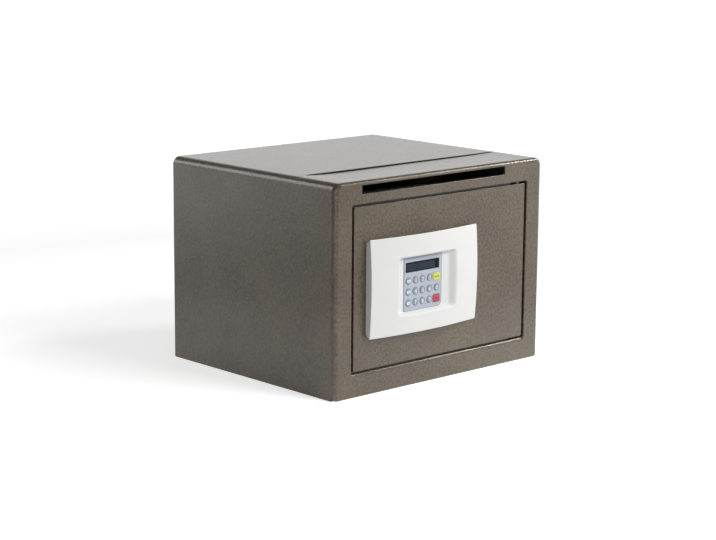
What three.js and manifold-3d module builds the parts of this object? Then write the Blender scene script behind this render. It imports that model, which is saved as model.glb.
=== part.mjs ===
// Furniture safe with a deposit slot and an electronic lock, in millimetres.
// X runs to the right, Y to the back and Z up. The origin is under the middle of the base.

import * as THREE from "three";
import { mergeVertices } from "three/addons/utils/BufferGeometryUtils.js";
import Module from "manifold-3d";

const wasm = await Module();
wasm.setup();

// Clearances
const seatGap = 0.3;
const roundClearance = 0.06;
const holeClearance = 0.3;

// Cabinet
const cabinetWidth = 350;
const cabinetDepth = 300;
const cabinetHeight = 255;
const casingSheet = 2;
const faceSheet = 2.5;
const sideBend = 8;
const faceSideRound = 6;
const faceTopRound = 4;
const faceBottomRound = 1.5;
const footCornerRound = 1.2;
const rearRound = 1.5;

// Door opening in the face, with its folded returns
const stileWidth = 27;
const sillHeight = 28.5;
const headerHeight = 26.7;
const openingCorner = 3;
const openingEdgeRound = 2;
const returnDepth = 18;
const returnSheet = 3;

// Deposit slot, its chute and the toothed plate behind it
const slotWidth = 239.8;
const slotHeight = 10.4;
const slotFromTop = 5;
const slotShift = -12.5;
const slotCorner = 1;
const chuteSheet = 1.2;
const chuteSideGap = 2.2;
const chuteDrop = 13;
const chuteReach = 80;
const chuteHem = 4;
const chuteFrontLip = 6.8;
const combSheet = 1.2;
const combToothPitch = 9.8;
const combToothDepth = 6;
const combTipFromTop = 17;
const combTopFromTop = 3.6;

// Folded seam across the top, between the bends of the sides
const seamSetback = 75;
const seamBend = 3;
const seamLip = 10;

// Anchor holes
const anchorHoleRadius = 6;
const baseHoleSpacing = 220;
const baseHoleFromRear = 130;
const rearHoleSpacing = 150;
const rearHoleHeight = 180;

// Floor mat
const matThickness = 3;
const matSideGap = 2;
const matHoleRadius = 12;
const matFrontGap = 4;

// Door leaf
const doorThickness = 4;
const doorGapLatch = 3;
const doorGapHinge = 4.5;
const doorGapTop = 1.9;
const doorGapBottom = 2.7;
const doorEdgeRound = 1;
const doorCorner = 2;
const doorStopWidth = 8;
const doorStopSheet = 2;
const doorStopEndGap = 14;

// Concealed pivots
const pivotFromEdge = 6;
const pivotFromFront = 7.5;
const pivotPinRadius = 2.5;
const pivotPinHeadRadius = 3.2;
const pivotPinHead = 1.5;
const pivotBlockHeight = 14;
const pivotBlockWidth = 9;
const pivotBlockDepth = 7.5;
const pivotBushRadius = 4;
const pivotBushCollar = 4.5;
const pivotBushLength = 9;
const pivotPinReach = 8;

// Welded tray behind the door leaf and its cover
const trayDepth = 34;
const traySheet = 1.5;
const trayFromLatch = 6.5;
const trayFromPivot = 5.5;
const trayFromEdges = 9;
const trayFlange = 12;
const trayFlangeSheet = 1.2;
const innerCoverSheet = 1.2;
const innerCoverInset = 0.5;
const coverScrewInset = 8;
const coverScrewRadius = 2;
const coverScrewHeadRadius = 4;
const coverScrewHead = 2.4;
const coverScrewLength = 7;
const coverScrewPoint = 0.6;

// Bolts and the carriage that carries them
const boltRadius = 7;
const boltLength = 42;
const boltThrow = 16;
const boltSpacing = 95;
const boltBehindReturn = 2;
const boltChamfer = 1.5;
const boltOutset = 0.5;
const boltNeckRadius = 3.5;
const boltRivetRadius = 5;
const boltRivet = 1.5;
const carriageSheet = 2;
const carriageFromLeaf = 4.5;
const carriageEndMargin = 13;
const carriageArmSpacing = 75;
const carriageArmWidth = 14;
const carriageSpine = 9;
const carriageArmLength = 43;
const studFromFlange = 17;
const studRadius = 2.5;
const studHeadRadius = 4.5;
const studHead = 2;

// Rack and pinion
const gearModule = 1;
const pinionTeeth = 18;
const pressureAngle = 20 * Math.PI / 180;
const flankBacklash = 0.06;
const pinionFromFlange = 25;
const pinionAboveMiddle = 4.5;
const gearFaceWidth = 3.4;
const rackThickness = 4;
const rackBodyHeight = 6.5;
const rackReach = 14;
const pinionShaftRadius = 2;
const pinionHubRadius = 4;
const rootClearance = 0.25;

// Motor, gearbox and their bracket
const bracketSheet = 1.5;
const bracketFromRack = 1;
const bracketFoot = 7;
const bracketWidth = 28;
const bracketMargin = 17;
const gearboxHeight = 28;
const gearboxDepth = 19.5;
const gearboxCorner = 2;
const gearboxBoreDepth = 4;
const gearboxStep = 1;
const motorRadius = 9.75;
const motorLength = 30;
const motorFlat = 7.6;
const motorBossRadius = 3;
const motorBoss = 2;

// Control board
const boardSheet = 1.6;
const boardWidth = 68;
const boardHeight = 60;
const boardStandoff = 4.4;
const boardFromPinion = 52;
const boardAboveMiddle = 3;
const boardPostRadius = 2.5;
const boardPostInset = 4;
const chipHeight = 2;
const relayHeight = 11;
const plugHeight = 6.5;

// Battery box, cells and the sliding lid
const cellRadius = 7.1;
const cellLength = 50.5;
const cellNub = 1;
const cellNubRadius = 2.7;
const cellEdge = 0.5;
const cellPitch = 15.4;
const cellCount = 4;
const cellEndGap = 1;
const batteryWall = 1.5;
const batteryRim = 2;
const batteryLegInset = 4;
const batteryLegWidth = 6;
const batteryFromTrayEnd = 44;
const batteryBelowMiddle = 36;
const lidSheet = 1.6;
const lidOverlap = 4;
const lidTravel = 60;
const lidGripCount = 5;
const lidGripPitch = 3;
const lidGripRise = 1;
const lidGripHeight = 30;
const lidGripFromEdge = 8;
const railWidth = 2.2;
const railLip = 1.5;
const railLipSheet = 1.6;
const railEnd = 2;

// Lock cover, curved across its width and its height
const coverWidth = 177;
const coverHeight = 117.7;
const coverFromLatch = 19;
const coverFromBottom = 37.1;
const coverCornerRise = 7;
const coverWideCrown = 7.5;
const coverTallCrown = 3;
const coverWall = 2.5;
const coverEdgeRound = 1.5;
const coverUndercut = 3.8;
const coverColumns = 10;
const coverRows = 6;
const pocketWidth = 89;
const pocketHeight = 68;
const pocketFromLeft = 41;
const pocketFromBottom = 23.7;
const pocketFloorRise = 8;
const pocketFloor = 2;
const pocketWall = 2;
const pocketCorner = 3;
const basePlate = 2;

// Keypad
const padWidth = 63;
const padHeight = 64.6;
const padShift = -0.8;
const padThickness = 0.8;
const padCorner = 1.5;
const padLowerCorner = 7;
const windowWidth = 55;
const windowHeight = 11.7;
const windowThickness = 1;
const windowFromPadTop = 11.9;
const windowShift = -0.8;
const windowCorner = 0.8;
const keyColumnPitch = 11.7;
const keyRowPitch = 13.3;
const keyRowsFromPadTop = 28;
const keyColumnShift = -0.7;
const keyRadius = 4.3;
const wideKeyWidth = 11.4;
const wideKeyHeight = 9.6;
const wideKeyCorner = 2;
const keyProud = 0.8;
const keyEdge = 0.5;
const keyFlange = 0.7;
const keyFlangeSheet = 0.8;
const keyTravel = 0.8;
const keyTravelGap = 0.1;
const keySides = 12;
const keypadBoardMargin = 4;
const cableHoleWidth = 7;
const cableHoleHeight = 14;
const cableFromPadEdge = 2;
const cableThickness = 1.6;
const cableHeight = 9;
const cableAboveMiddle = 22;
const cableShift = 2;

// Planes and edges that follow from the sizes above
const front = -cabinetDepth / 2;
const rear = cabinetDepth / 2;
const left = -cabinetWidth / 2;
const right = cabinetWidth / 2;
const top = cabinetHeight;
const faceBack = front + Math.max(faceSideRound, faceTopRound);
const seam = front + seamSetback;
const topHalf = right - sideBend;
const rearPanelFront = rear - casingSheet;

const openingLeft = left + stileWidth;
const openingRight = right - stileWidth;
const openingBottom = sillHeight;
const openingTop = top - headerHeight;
const returnEnd = front + returnDepth;

const slotTop = top - slotFromTop;
const slotBottom = slotTop - slotHeight;
const slotLeft = slotShift - slotWidth / 2;
const slotRight = slotShift + slotWidth / 2;

const doorLeft = openingLeft + doorGapLatch;
const doorRight = openingRight - doorGapHinge;
const doorBottom = openingBottom + doorGapBottom;
const doorTop = openingTop - doorGapTop;
const doorBack = front + doorThickness;
const pivotX = doorRight - pivotFromEdge;
const pivotY = front + pivotFromFront;

const trayLeft = doorLeft + trayFromLatch;
const trayRight = pivotX - trayFromPivot;
const trayBottom = doorBottom + trayFromEdges;
const trayTop = doorTop - trayFromEdges;
const trayBack = doorBack + trayDepth;
const workZ = (trayBottom + trayTop) / 2;
const innerCoverBack = trayBack + innerCoverSheet;

const boltY = returnEnd + boltBehindReturn + boltRadius;
const boltTip = trayLeft - boltOutset;
const flangeX = boltTip + boltLength;
const boltHeights = [workZ + boltSpacing / 2, workZ - boltSpacing / 2];
const carriageFront = doorBack + carriageFromLeaf;
const carriageBack = carriageFront + carriageSheet;
const carriageFlangeBack = boltY + boltRadius + carriageSheet;
const armHeights = [workZ + carriageArmSpacing / 2, workZ - carriageArmSpacing / 2];
const studX = flangeX + studFromFlange;

const pinionX = flangeX + pinionFromFlange;
const pinionZ = workZ + pinionAboveMiddle;
const pitchRadius = gearModule * pinionTeeth / 2;
const pinionTip = pitchRadius + gearModule;
const pinionRoot = pitchRadius - gearModule - rootClearance;
const pitchLine = pinionZ - pitchRadius;
const gearFront = carriageBack + seatGap;
const gearBack = gearFront + gearFaceWidth;
const rackBack = carriageBack + rackThickness;
const bracketFront = rackBack + bracketFromRack;
const bracketBack = bracketFront + bracketSheet;
const gearboxBack = bracketBack + gearboxDepth;
const gearboxLeft = pinionX - bracketWidth / 2;
const gearboxRight = pinionX + bracketWidth / 2;

const boardLeft = pinionX + boardFromPinion;
const boardBottom = workZ + boardAboveMiddle;
const boardFront = doorBack + boardStandoff;
const boardBack = boardFront + boardSheet;

const batteryX = trayRight - batteryFromTrayEnd;
const batteryZ = workZ - batteryBelowMiddle;
const batteryHalfX = cellLength / 2 + cellEndGap + batteryWall;
const batteryHalfZ = cellPitch * cellCount / 2 + batteryWall;
const cellY = trayBack - cellRadius - 2;
const batteryFloor = cellY - cellRadius - seatGap;
const lidHalfX = batteryHalfX + lidOverlap;
const lidHalfZ = batteryHalfZ + lidOverlap;
const lidFront = innerCoverBack + seatGap;
const lidBack = lidFront + lidSheet;

const lockLeft = doorLeft + coverFromLatch;
const lockRight = lockLeft + coverWidth;
const lockBottom = doorBottom + coverFromBottom;
const lockTop = lockBottom + coverHeight;
const pocketLeft = lockLeft + pocketFromLeft;
const pocketRight = pocketLeft + pocketWidth;
const pocketBottom = lockBottom + pocketFromBottom;
const pocketTop = pocketBottom + pocketHeight;
const pocketFront = front - pocketFloorRise;
const pocketBack = pocketFront + pocketFloor;
const padX = (pocketLeft + pocketRight) / 2 + padShift;
const padZ = (pocketBottom + pocketTop) / 2;
const padFront = pocketFront - padThickness;
const windowX = padX + windowShift;
const windowZ = padZ + padHeight / 2 - windowFromPadTop;
const keyFront = padFront - keyProud;
const keyFlangeFront = pocketBack + seatGap;
const keyFlangeBack = keyFlangeFront + keyFlangeSheet;
const keypadBoardFront = keyFlangeBack + keyTravel + keyTravelGap;
const keypadBoardBack = keypadBoardFront + boardSheet;
const basePlateFront = front - basePlate;
const cableX = padX + padWidth / 2 - cableFromPadEdge;
const cableZ = workZ + cableAboveMiddle;

// Materials
function finish(color, roughness, metalness) {
  return new THREE.MeshStandardMaterial({ color, roughness, metalness });
}
const paint = finish(0x776f69, 0.45, 0.35);
const blackPaint = finish(0x1b1b1c, 0.5, 0.2);
const zinc = finish(0xb9bcc0, 0.35, 0.9);
const steel = finish(0x9a9da1, 0.3, 1);
const brass = finish(0xb08d4a, 0.35, 1);
const felt = finish(0x2b2d30, 0.95, 0);
const whitePlastic = finish(0xe6e6ea, 0.4, 0);
const bluePlastic = finish(0xa9b2be, 0.55, 0);
const darkWindow = finish(0x353c45, 0.15, 0);
const blueKey = finish(0x98a1af, 0.5, 0);
const yellowKey = finish(0xd9dc55, 0.5, 0);
const redKey = finish(0xc4475a, 0.5, 0);
const circuit = finish(0x2f6b45, 0.5, 0);
const blackPlastic = finish(0x26282b, 0.5, 0);
const greyPlastic = finish(0x8d9196, 0.55, 0);
const cellWrap = finish(0x2d4f8f, 0.3, 0.2);

// A closed geometry becomes a solid with its faces pointing out
function solid(geometry) {
  geometry.deleteAttribute("normal");
  geometry.deleteAttribute("uv");
  const merged = mergeVertices(geometry, 1e-4);
  const points = merged.attributes.position.array;
  const index = merged.index.array;
  const triangles = [];
  let volume = 0;
  for (let i = 0; i < index.length; i += 3) {
    const [a, b, c] = [index[i], index[i + 1], index[i + 2]];
    if (a === b || b === c || c === a) continue;
    triangles.push(a, b, c);
    const [p, q, r] = [a, b, c].map((corner) => new THREE.Vector3().fromArray(points, 3 * corner));
    volume += p.dot(q.cross(r));
  }
  if (volume < 0) triangles.reverse();
  const mesh = new wasm.Mesh({
    numProp: 3,
    vertProperties: new Float32Array(points),
    triVerts: new Uint32Array(triangles),
  });
  return new wasm.Manifold(mesh);
}

// Every point of a geometry goes through one function of its coordinates
function mapped(geometry, place) {
  const points = geometry.attributes.position;
  for (let i = 0; i < points.count; i += 1) {
    points.setXYZ(i, ...place(points.getX(i), points.getY(i), points.getZ(i)));
  }
  return solid(geometry);
}

// Outlines carried along one axis from a start to an end
function extruded(shape, curveSegments, place) {
  const settings = { depth: 1, bevelEnabled: false, curveSegments };
  return mapped(new THREE.ExtrudeGeometry(shape, settings), place);
}
function alongX(shape, start, end, curveSegments = 4) {
  return extruded(shape, curveSegments, (u, v, step) => [step < 0.5 ? start : end, u, v]);
}
function alongY(shape, start, end, curveSegments = 4) {
  return extruded(shape, curveSegments, (u, v, step) => [u, step < 0.5 ? end : start, v]);
}

// Profiles of [radius, place] pairs turned about an axis through a centre
function lathe(profile, sides, place) {
  const points = profile.map(([radius, along]) => new THREE.Vector2(radius, along));
  return mapped(new THREE.LatheGeometry(points, sides), place);
}
function aboutX(profile, y, z, sides = 16) {
  return lathe(profile, sides, (a, along, b) => [along, y - a, z + b]);
}
function aboutY(profile, x, z, sides = 16) {
  return lathe(profile, sides, (a, along, b) => [x + a, along, z + b]);
}
function aboutZ(profile, x, y, sides = 16) {
  return lathe(profile, sides, (a, along, b) => [x + a, y - b, along]);
}
function rod(radius, start, end) {
  return [[0, start], [radius, start], [radius, end], [0, end]];
}
// Corner radius of a bore with flat sides whose sides clear a round shaft
function boreRadius(shaftRadius, clearance, sides = 16) {
  return (shaftRadius + clearance) / Math.cos(Math.PI / sides);
}

function box(x0, x1, y0, y1, z0, z1) {
  const between = (low, high) => (value) => (value < 0 ? low : high);
  const [atX, atY, atZ] = [between(x0, x1), between(y0, y1), between(z0, z1)];
  return mapped(new THREE.BoxGeometry(1, 1, 1), (x, y, z) => [atX(x), atY(y), atZ(z)]);
}

// Outlines
function polygon(points) {
  return new THREE.Shape(points.map(([u, v]) => new THREE.Vector2(u, v)));
}
function roundedRectangle(u0, u1, v0, v1, radius, lowerRight = radius) {
  const shape = new THREE.Shape();
  shape.moveTo(u0 + radius, v0);
  shape.lineTo(u1 - lowerRight, v0);
  shape.absarc(u1 - lowerRight, v0 + lowerRight, lowerRight, -Math.PI / 2, 0, false);
  shape.absarc(u1 - radius, v1 - radius, radius, 0, Math.PI / 2, false);
  shape.absarc(u0 + radius, v1 - radius, radius, Math.PI / 2, Math.PI, false);
  shape.absarc(u0 + radius, v0 + radius, radius, Math.PI, 1.5 * Math.PI, false);
  return shape;
}

// Rings of the same number of points, joined by a skin and closed by a fan at each end
function loft(rings) {
  const count = rings[0].length;
  const middles = [rings[0], rings.at(-1)].map((ring) =>
    ring.reduce((sum, point) => sum.add(point), new THREE.Vector3()).divideScalar(count));
  const points = [...rings.flat(), ...middles];
  const index = [];
  for (let level = 0; level < rings.length - 1; level += 1) {
    for (let i = 0; i < count; i += 1) {
      const a = level * count + i;
      const b = level * count + (i + 1) % count;
      index.push(a, b, b + count, a, b + count, a + count);
    }
  }
  const last = (rings.length - 1) * count;
  for (let i = 0; i < count; i += 1) {
    const next = (i + 1) % count;
    index.push(next, i, points.length - 2);
    index.push(last + i, last + next, points.length - 1);
  }
  const geometry = new THREE.BufferGeometry().setFromPoints(points);
  geometry.setIndex(index);
  return solid(geometry);
}

// One ring of a rectangle with rounded corners that stands across Y. Each side has its own inset
// and depth, and along a corner the depth turns from one side's to the next.
function faceRing(edges, inset, depth, corner, steps = 4) {
  const x0 = edges.left + inset.side;
  const x1 = edges.right - inset.side;
  const z0 = edges.bottom + inset.bottom;
  const z1 = edges.top - inset.top;
  const corners = [
    [x1, z0, -1, corner.bottom, depth.bottom, depth.side],
    [x1, z1, 0, corner.top, depth.side, depth.top],
    [x0, z1, 1, corner.top, depth.top, depth.side],
    [x0, z0, 2, corner.bottom, depth.side, depth.bottom],
  ];
  const ring = [];
  for (const [x, z, quarter, radius, from, to] of corners) {
    const centreX = x - Math.sign(x - (x0 + x1) / 2) * radius;
    const centreZ = z - Math.sign(z - (z0 + z1) / 2) * radius;
    for (let step = 0; step <= steps; step += 1) {
      const share = step / steps;
      const angle = (quarter + share) * Math.PI / 2;
      const blend = Math.sin(share * Math.PI / 2) ** 2;
      ring.push(new THREE.Vector3(
        centreX + radius * Math.cos(angle),
        from + (to - from) * blend,
        centreZ + radius * Math.sin(angle),
      ));
    }
  }
  return ring;
}

// A block across Y whose edges at the start are rounded by a radius of their own on each side
function roundedFace(edges, rounds, corner, start, end, steps = 4) {
  const way = Math.sign(end - start);
  const rings = [];
  for (let step = 0; step <= steps; step += 1) {
    const angle = step / steps * Math.PI / 2;
    const inset = {};
    const depth = {};
    for (const [side, radius] of Object.entries(rounds)) {
      inset[side] = radius * (1 - Math.sin(angle));
      depth[side] = start + way * radius * (1 - Math.cos(angle));
    }
    const sharper = {
      top: Math.max(corner.top - (inset.side + inset.top) / 2, corner.top / 3),
      bottom: Math.max(corner.bottom - (inset.side + inset.bottom) / 2, corner.bottom / 3),
    };
    rings.push(faceRing(edges, inset, depth, sharper));
  }
  const none = { side: 0, top: 0, bottom: 0 };
  rings.push(faceRing(edges, none, { side: end, top: end, bottom: end }, corner));
  return loft(rings);
}

// A hole across Y with a flared front edge, as a block to cut away
function flaredHole(edges, corner, flare, start, end, steps = 3) {
  const level = (outset, y) => {
    const inset = { side: -outset, top: -outset, bottom: -outset };
    const depth = { side: y, top: y, bottom: y };
    return faceRing(edges, inset, depth, { top: corner + outset, bottom: corner + outset });
  };
  const rings = [level(flare, start - 1)];
  for (let step = 0; step <= steps; step += 1) {
    const angle = step / steps * Math.PI / 2;
    rings.push(level(flare * (1 - Math.sin(angle)), start + flare * (1 - Math.cos(angle))));
  }
  rings.push(level(0, end));
  return loft(rings);
}

const group = new THREE.Group();
function add(name, material, shape) {
  const { vertProperties, triVerts, numProp } = shape.getMesh();
  const points = new Float32Array(vertProperties.length / numProp * 3);
  for (let i = 0; i < points.length / 3; i += 1) {
    for (let k = 0; k < 3; k += 1) points[3 * i + k] = vertProperties[numProp * i + k];
  }
  const geometry = new THREE.BufferGeometry();
  geometry.setAttribute("position", new THREE.BufferAttribute(points, 3));
  geometry.setIndex(new THREE.BufferAttribute(new Uint32Array(triVerts), 1));
  geometry.computeVertexNormals();
  const mesh = new THREE.Mesh(geometry, material);
  mesh.name = name;
  group.add(mesh);
}

// The two sheets of the seam are folded down side by side. The profile runs from a start to the
// fold, in the Y and Z plane.
function seamProfile(start, fold) {
  const towards = Math.sign(fold - start);
  const inner = seamBend - casingSheet;
  const centre = fold - towards * seamBend;
  const shape = new THREE.Shape();
  const [upright, level] = [Math.PI / 2, towards > 0 ? 0 : Math.PI];
  shape.moveTo(start, top);
  shape.lineTo(centre, top);
  shape.absarc(centre, top - seamBend, seamBend, upright, level, towards > 0);
  shape.lineTo(fold, top - seamLip);
  shape.lineTo(fold - towards * casingSheet, top - seamLip);
  shape.absarc(centre, top - seamBend, inner, level, upright, towards < 0);
  shape.lineTo(start, top - casingSheet);
  return shape;
}

function addCasing() {
  const outline = new THREE.Shape();
  outline.moveTo(left, 0);
  outline.lineTo(left + casingSheet, 0);
  const inner = sideBend - casingSheet;
  outline.absarc(left + sideBend, top - sideBend, inner, Math.PI, Math.PI / 2, true);
  outline.absarc(right - sideBend, top - sideBend, inner, Math.PI / 2, 0, true);
  outline.lineTo(right - casingSheet, 0);
  outline.lineTo(right, 0);
  outline.absarc(right - sideBend, top - sideBend, sideBend, 0, Math.PI / 2, false);
  outline.absarc(left + sideBend, top - sideBend, sideBend, Math.PI / 2, Math.PI, false);
  const gap = box(-topHalf, topHalf, faceBack - 1, seam + seamBend, top - casingSheet - 1, top + 1);
  const fold = alongX(seamProfile(seam + seamBend + 1, seam), -topHalf, topHalf);
  const wrap = alongY(outline, faceBack, rearPanelFront, 6).subtract(gap).add(fold);
  add("casing_wrap", paint, wrap);

  const matX = right - casingSheet - matSideGap;
  const matFront = returnEnd + matFrontGap;
  const matTop = casingSheet + matThickness;
  const matRear = rearPanelFront - matSideGap;
  const holeX = baseHoleSpacing / 2;
  const holeY = rear - baseHoleFromRear;
  let floor = box(left + casingSheet, right - casingSheet, faceBack, rearPanelFront, 0, casingSheet);
  let mat = box(-matX, matX, matFront, matRear, casingSheet, matTop);
  for (const x of [-holeX, holeX]) {
    floor = floor.subtract(aboutZ(rod(anchorHoleRadius, -1, casingSheet + 1), x, holeY));
    mat = mat.subtract(aboutZ(rod(matHoleRadius, casingSheet - 1, matTop + 1), x, holeY));
  }
  add("base_panel", paint, floor);
  add("floor_mat", felt, mat);

  const edges = { left, right, bottom: 0, top };
  const rounds = { side: rearRound, top: rearRound, bottom: rearRound };
  const corner = { top: sideBend, bottom: footCornerRound };
  let back = roundedFace(edges, rounds, corner, rear, rearPanelFront, 2);
  for (const x of [-rearHoleSpacing / 2, rearHoleSpacing / 2]) {
    back = back.subtract(aboutY(rod(anchorHoleRadius, rearPanelFront - 1, rear + 1), x, rearHoleHeight));
  }
  add("back_panel", paint, back);
}

function addFrontFrame() {
  const edges = { left, right, bottom: 0, top };
  const rounds = { side: faceSideRound, top: faceTopRound, bottom: faceBottomRound };
  const corner = { top: sideBend, bottom: footCornerRound };
  const skin = roundedFace(edges, rounds, corner, front, faceBack);

  const under = {
    left: left + faceSheet,
    right: right - faceSheet,
    bottom: faceSheet,
    top: top - faceSheet,
  };
  const underRounds = {
    side: faceSideRound - faceSheet,
    top: faceTopRound - faceSheet,
    bottom: 0.2,
  };
  const underCorner = { top: sideBend - faceSheet, bottom: 0.5 };
  const hollow = roundedFace(under, underRounds, underCorner, front + faceSheet, faceBack + 1);

  const opening = { left: openingLeft, right: openingRight, bottom: openingBottom, top: openingTop };
  const returns = alongY(
    roundedRectangle(
      openingLeft - returnSheet, openingRight + returnSheet,
      openingBottom - returnSheet, openingTop + returnSheet,
      openingCorner + returnSheet,
    ),
    front + faceSheet / 2, returnEnd,
  );
  const strip = alongX(seamProfile(faceBack - 1, seam), -topHalf, topHalf);
  const slot = alongY(
    roundedRectangle(slotLeft, slotRight, slotBottom, slotTop, slotCorner),
    front - 1, front + faceSheet + 1, 2,
  );
  const doorway = flaredHole(opening, openingCorner, openingEdgeRound, front, returnEnd + 1);
  let frame = skin.subtract(hollow).add(returns).add(strip).subtract(doorway).subtract(slot);
  const bore = boreRadius(pivotBushRadius, roundClearance);
  const holeReach = returnSheet + 1;
  for (const z of [openingTop - 1, openingBottom - holeReach]) {
    frame = frame.subtract(aboutZ(rod(bore, z, z + holeReach + 1), pivotX, pivotY));
  }
  add("front_frame", paint, frame);
}

function addDoorStops() {
  const stopFront = doorBack + seatGap;
  const x0 = openingLeft + openingCorner + seatGap;
  const x1 = pivotX - doorStopEndGap;
  const stopBack = stopFront + doorStopSheet;
  const upper = box(x0, x1, stopFront, stopBack, openingTop - doorStopWidth, openingTop);
  const lower = box(x0, x1, stopFront, stopBack, openingBottom, openingBottom + doorStopWidth);
  add("door_stop_upper", paint, upper);
  add("door_stop_lower", paint, lower);
}

// The chute is one folded sheet: a lip against the face, a sloping floor, a hem and two cheeks
function addChute() {
  const start = front + faceSheet;
  const end = start + chuteReach;
  const low = slotBottom - chuteDrop;
  const slope = chuteDrop / chuteReach;
  const lip = chuteSheet;
  const floor = polygon([
    [start, slotBottom],
    [start, slotBottom - chuteFrontLip],
    [start + lip, slotBottom - chuteFrontLip],
    [start + lip, slotBottom - chuteSheet - slope * lip],
    [end - lip, low - chuteSheet + slope * lip],
    [end - lip, low - chuteHem],
    [end, low - chuteHem],
    [end, low],
  ]);
  const cheek = polygon([
    [start, slotBottom - chuteSheet],
    [end, low - chuteSheet],
    [end, low + slotHeight / 2],
    [end - chuteReach / 3, slotTop],
    [start, slotTop],
  ]);
  const x0 = slotLeft - chuteSideGap;
  const x1 = slotRight + chuteSideGap;
  const chute = alongX(floor, x0 - chuteSheet, x1 + chuteSheet)
    .add(alongX(cheek, x0 - chuteSheet, x0))
    .add(alongX(cheek, x1, x1 + chuteSheet));
  add("deposit_chute", blackPaint, chute);
}

// Teeth along the lower edge of the plate keep letters from being drawn back out
function addComb() {
  const teeth = Math.floor(slotWidth / combToothPitch);
  const half = teeth * combToothPitch / 2;
  const tip = top - combTipFromTop;
  const root = tip + combToothDepth;
  const head = top - combTopFromTop;
  const outline = [[slotShift - half, head], [slotShift - half, root]];
  for (let tooth = 0; tooth < teeth; tooth += 1) {
    const u = slotShift - half + tooth * combToothPitch;
    outline.push([u + combToothPitch * 0.5, tip], [u + combToothPitch, root]);
  }
  outline.push([slotShift + half, head]);
  const plateBack = seam - casingSheet;
  add("anti_fishing_comb", zinc, alongY(polygon(outline), plateBack - combSheet, plateBack));
}

// Concealed pivots: a bush in each return, a block on the leaf, and a headed pin through both
function addPivots() {
  const bore = boreRadius(pivotPinRadius, roundClearance);
  const blockLeft = trayRight;
  const blockRight = blockLeft + pivotBlockWidth;
  const blockBack = doorBack + pivotBlockDepth;
  const sides = [
    { name: "upper", way: 1, edge: doorTop, wall: openingTop, gap: doorGapTop },
    { name: "lower", way: -1, edge: doorBottom, wall: openingBottom, gap: doorGapBottom },
  ];
  for (const { name, way, edge, wall, gap } of sides) {
    const inner = edge - way * pivotBlockHeight;
    const [low, high] = [Math.min(edge, inner), Math.max(edge, inner)];
    const block = box(blockLeft, blockRight, doorBack, blockBack, low, high);
    add(`hinge_block_${name}`, zinc, block.subtract(
      aboutZ(rod(bore, low - 1, high + 1), pivotX, pivotY),
    ));

    const head = inner - way * pivotPinHead;
    const tip = wall + way * pivotPinReach;
    const chamfer = pivotPinRadius / 3;
    const pin = aboutZ([
      [0, head],
      [pivotPinHeadRadius, head],
      [pivotPinHeadRadius, inner],
      [pivotPinRadius, inner],
      [pivotPinRadius, tip - way * chamfer],
      [pivotPinRadius - chamfer, tip],
      [0, tip],
    ], pivotX, pivotY);
    add(`hinge_pin_${name}`, steel, pin);

    const collar = wall - way * (gap - seatGap);
    const end = wall + way * pivotBushLength;
    const bush = aboutZ([
      [bore, collar],
      [pivotBushCollar, collar],
      [pivotBushCollar, wall],
      [pivotBushRadius, wall],
      [pivotBushRadius, end],
      [bore, end],
      [bore, collar],
    ], pivotX, pivotY);
    add(`hinge_bush_${name}`, brass, bush);
  }
}

function addDoorLeaf() {
  const edges = { left: doorLeft, right: doorRight, bottom: doorBottom, top: doorTop };
  const rounds = { side: doorEdgeRound, top: doorEdgeRound, bottom: doorEdgeRound };
  const corner = { top: doorCorner, bottom: doorCorner };
  const leaf = roundedFace(edges, rounds, corner, front, doorBack, 2);
  add("door_plate", paint, leaf.subtract(cableHole(front - 1, doorBack + 1)));

  const outer = roundedRectangle(trayLeft, trayRight, trayBottom, trayTop, doorCorner);
  const inner = roundedRectangle(
    trayLeft + traySheet, trayRight - traySheet,
    trayBottom + traySheet, trayTop - traySheet, doorCorner / 2,
  );
  const mouth = roundedRectangle(
    trayLeft + trayFlange, trayRight - trayFlange,
    trayBottom + trayFlange, trayTop - trayFlange, doorCorner,
  );
  let tray = alongY(outer, doorBack, trayBack, 3)
    .subtract(alongY(inner, doorBack - 1, trayBack - trayFlangeSheet, 3))
    .subtract(alongY(mouth, doorBack - 1, trayBack + 1, 3));
  const boltHole = boreRadius(boltRadius, roundClearance);
  for (const z of boltHeights) {
    tray = tray.subtract(aboutX(rod(boltHole, trayLeft - 1, trayLeft + traySheet + 1), boltY, z));
  }

  const inset = innerCoverInset;
  let cover = alongY(
    roundedRectangle(trayLeft + inset, trayRight - inset, trayBottom + inset, trayTop - inset, doorCorner),
    trayBack, innerCoverBack, 3,
  );
  const hatchX = batteryHalfX - batteryRim;
  const hatchZ = batteryHalfZ - batteryRim;
  cover = cover.subtract(box(
    batteryX - hatchX, batteryX + hatchX, trayBack - 1, innerCoverBack + 1,
    batteryZ - hatchZ, batteryZ + hatchZ,
  ));
  cover = cover.add(lidRail(1)).add(lidRail(-1));

  const screwHole = boreRadius(coverScrewRadius, holeClearance, 10);
  let number = 0;
  for (const z of [trayTop - coverScrewInset, trayBottom + coverScrewInset]) {
    for (const x of [trayLeft + coverScrewInset, trayRight - coverScrewInset]) {
      const drill = aboutY(rod(screwHole, trayBack - 2, innerCoverBack + 1), x, z, 10);
      tray = tray.subtract(drill);
      cover = cover.subtract(drill);
      number += 1;
      add(`cover_screw_${number}`, zinc, coverScrew(x, z));
    }
  }
  add("door_tray", paint, tray);
  add("door_inner_cover", paint, cover);
}

function cableHole(start, end) {
  const halfX = cableHoleWidth / 2;
  const halfZ = cableHoleHeight / 2;
  const outline = roundedRectangle(
    cableX - halfX, cableX + halfX, cableZ - halfZ, cableZ + halfZ, halfX - 0.5,
  );
  return alongY(outline, start, end, 3);
}

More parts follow.
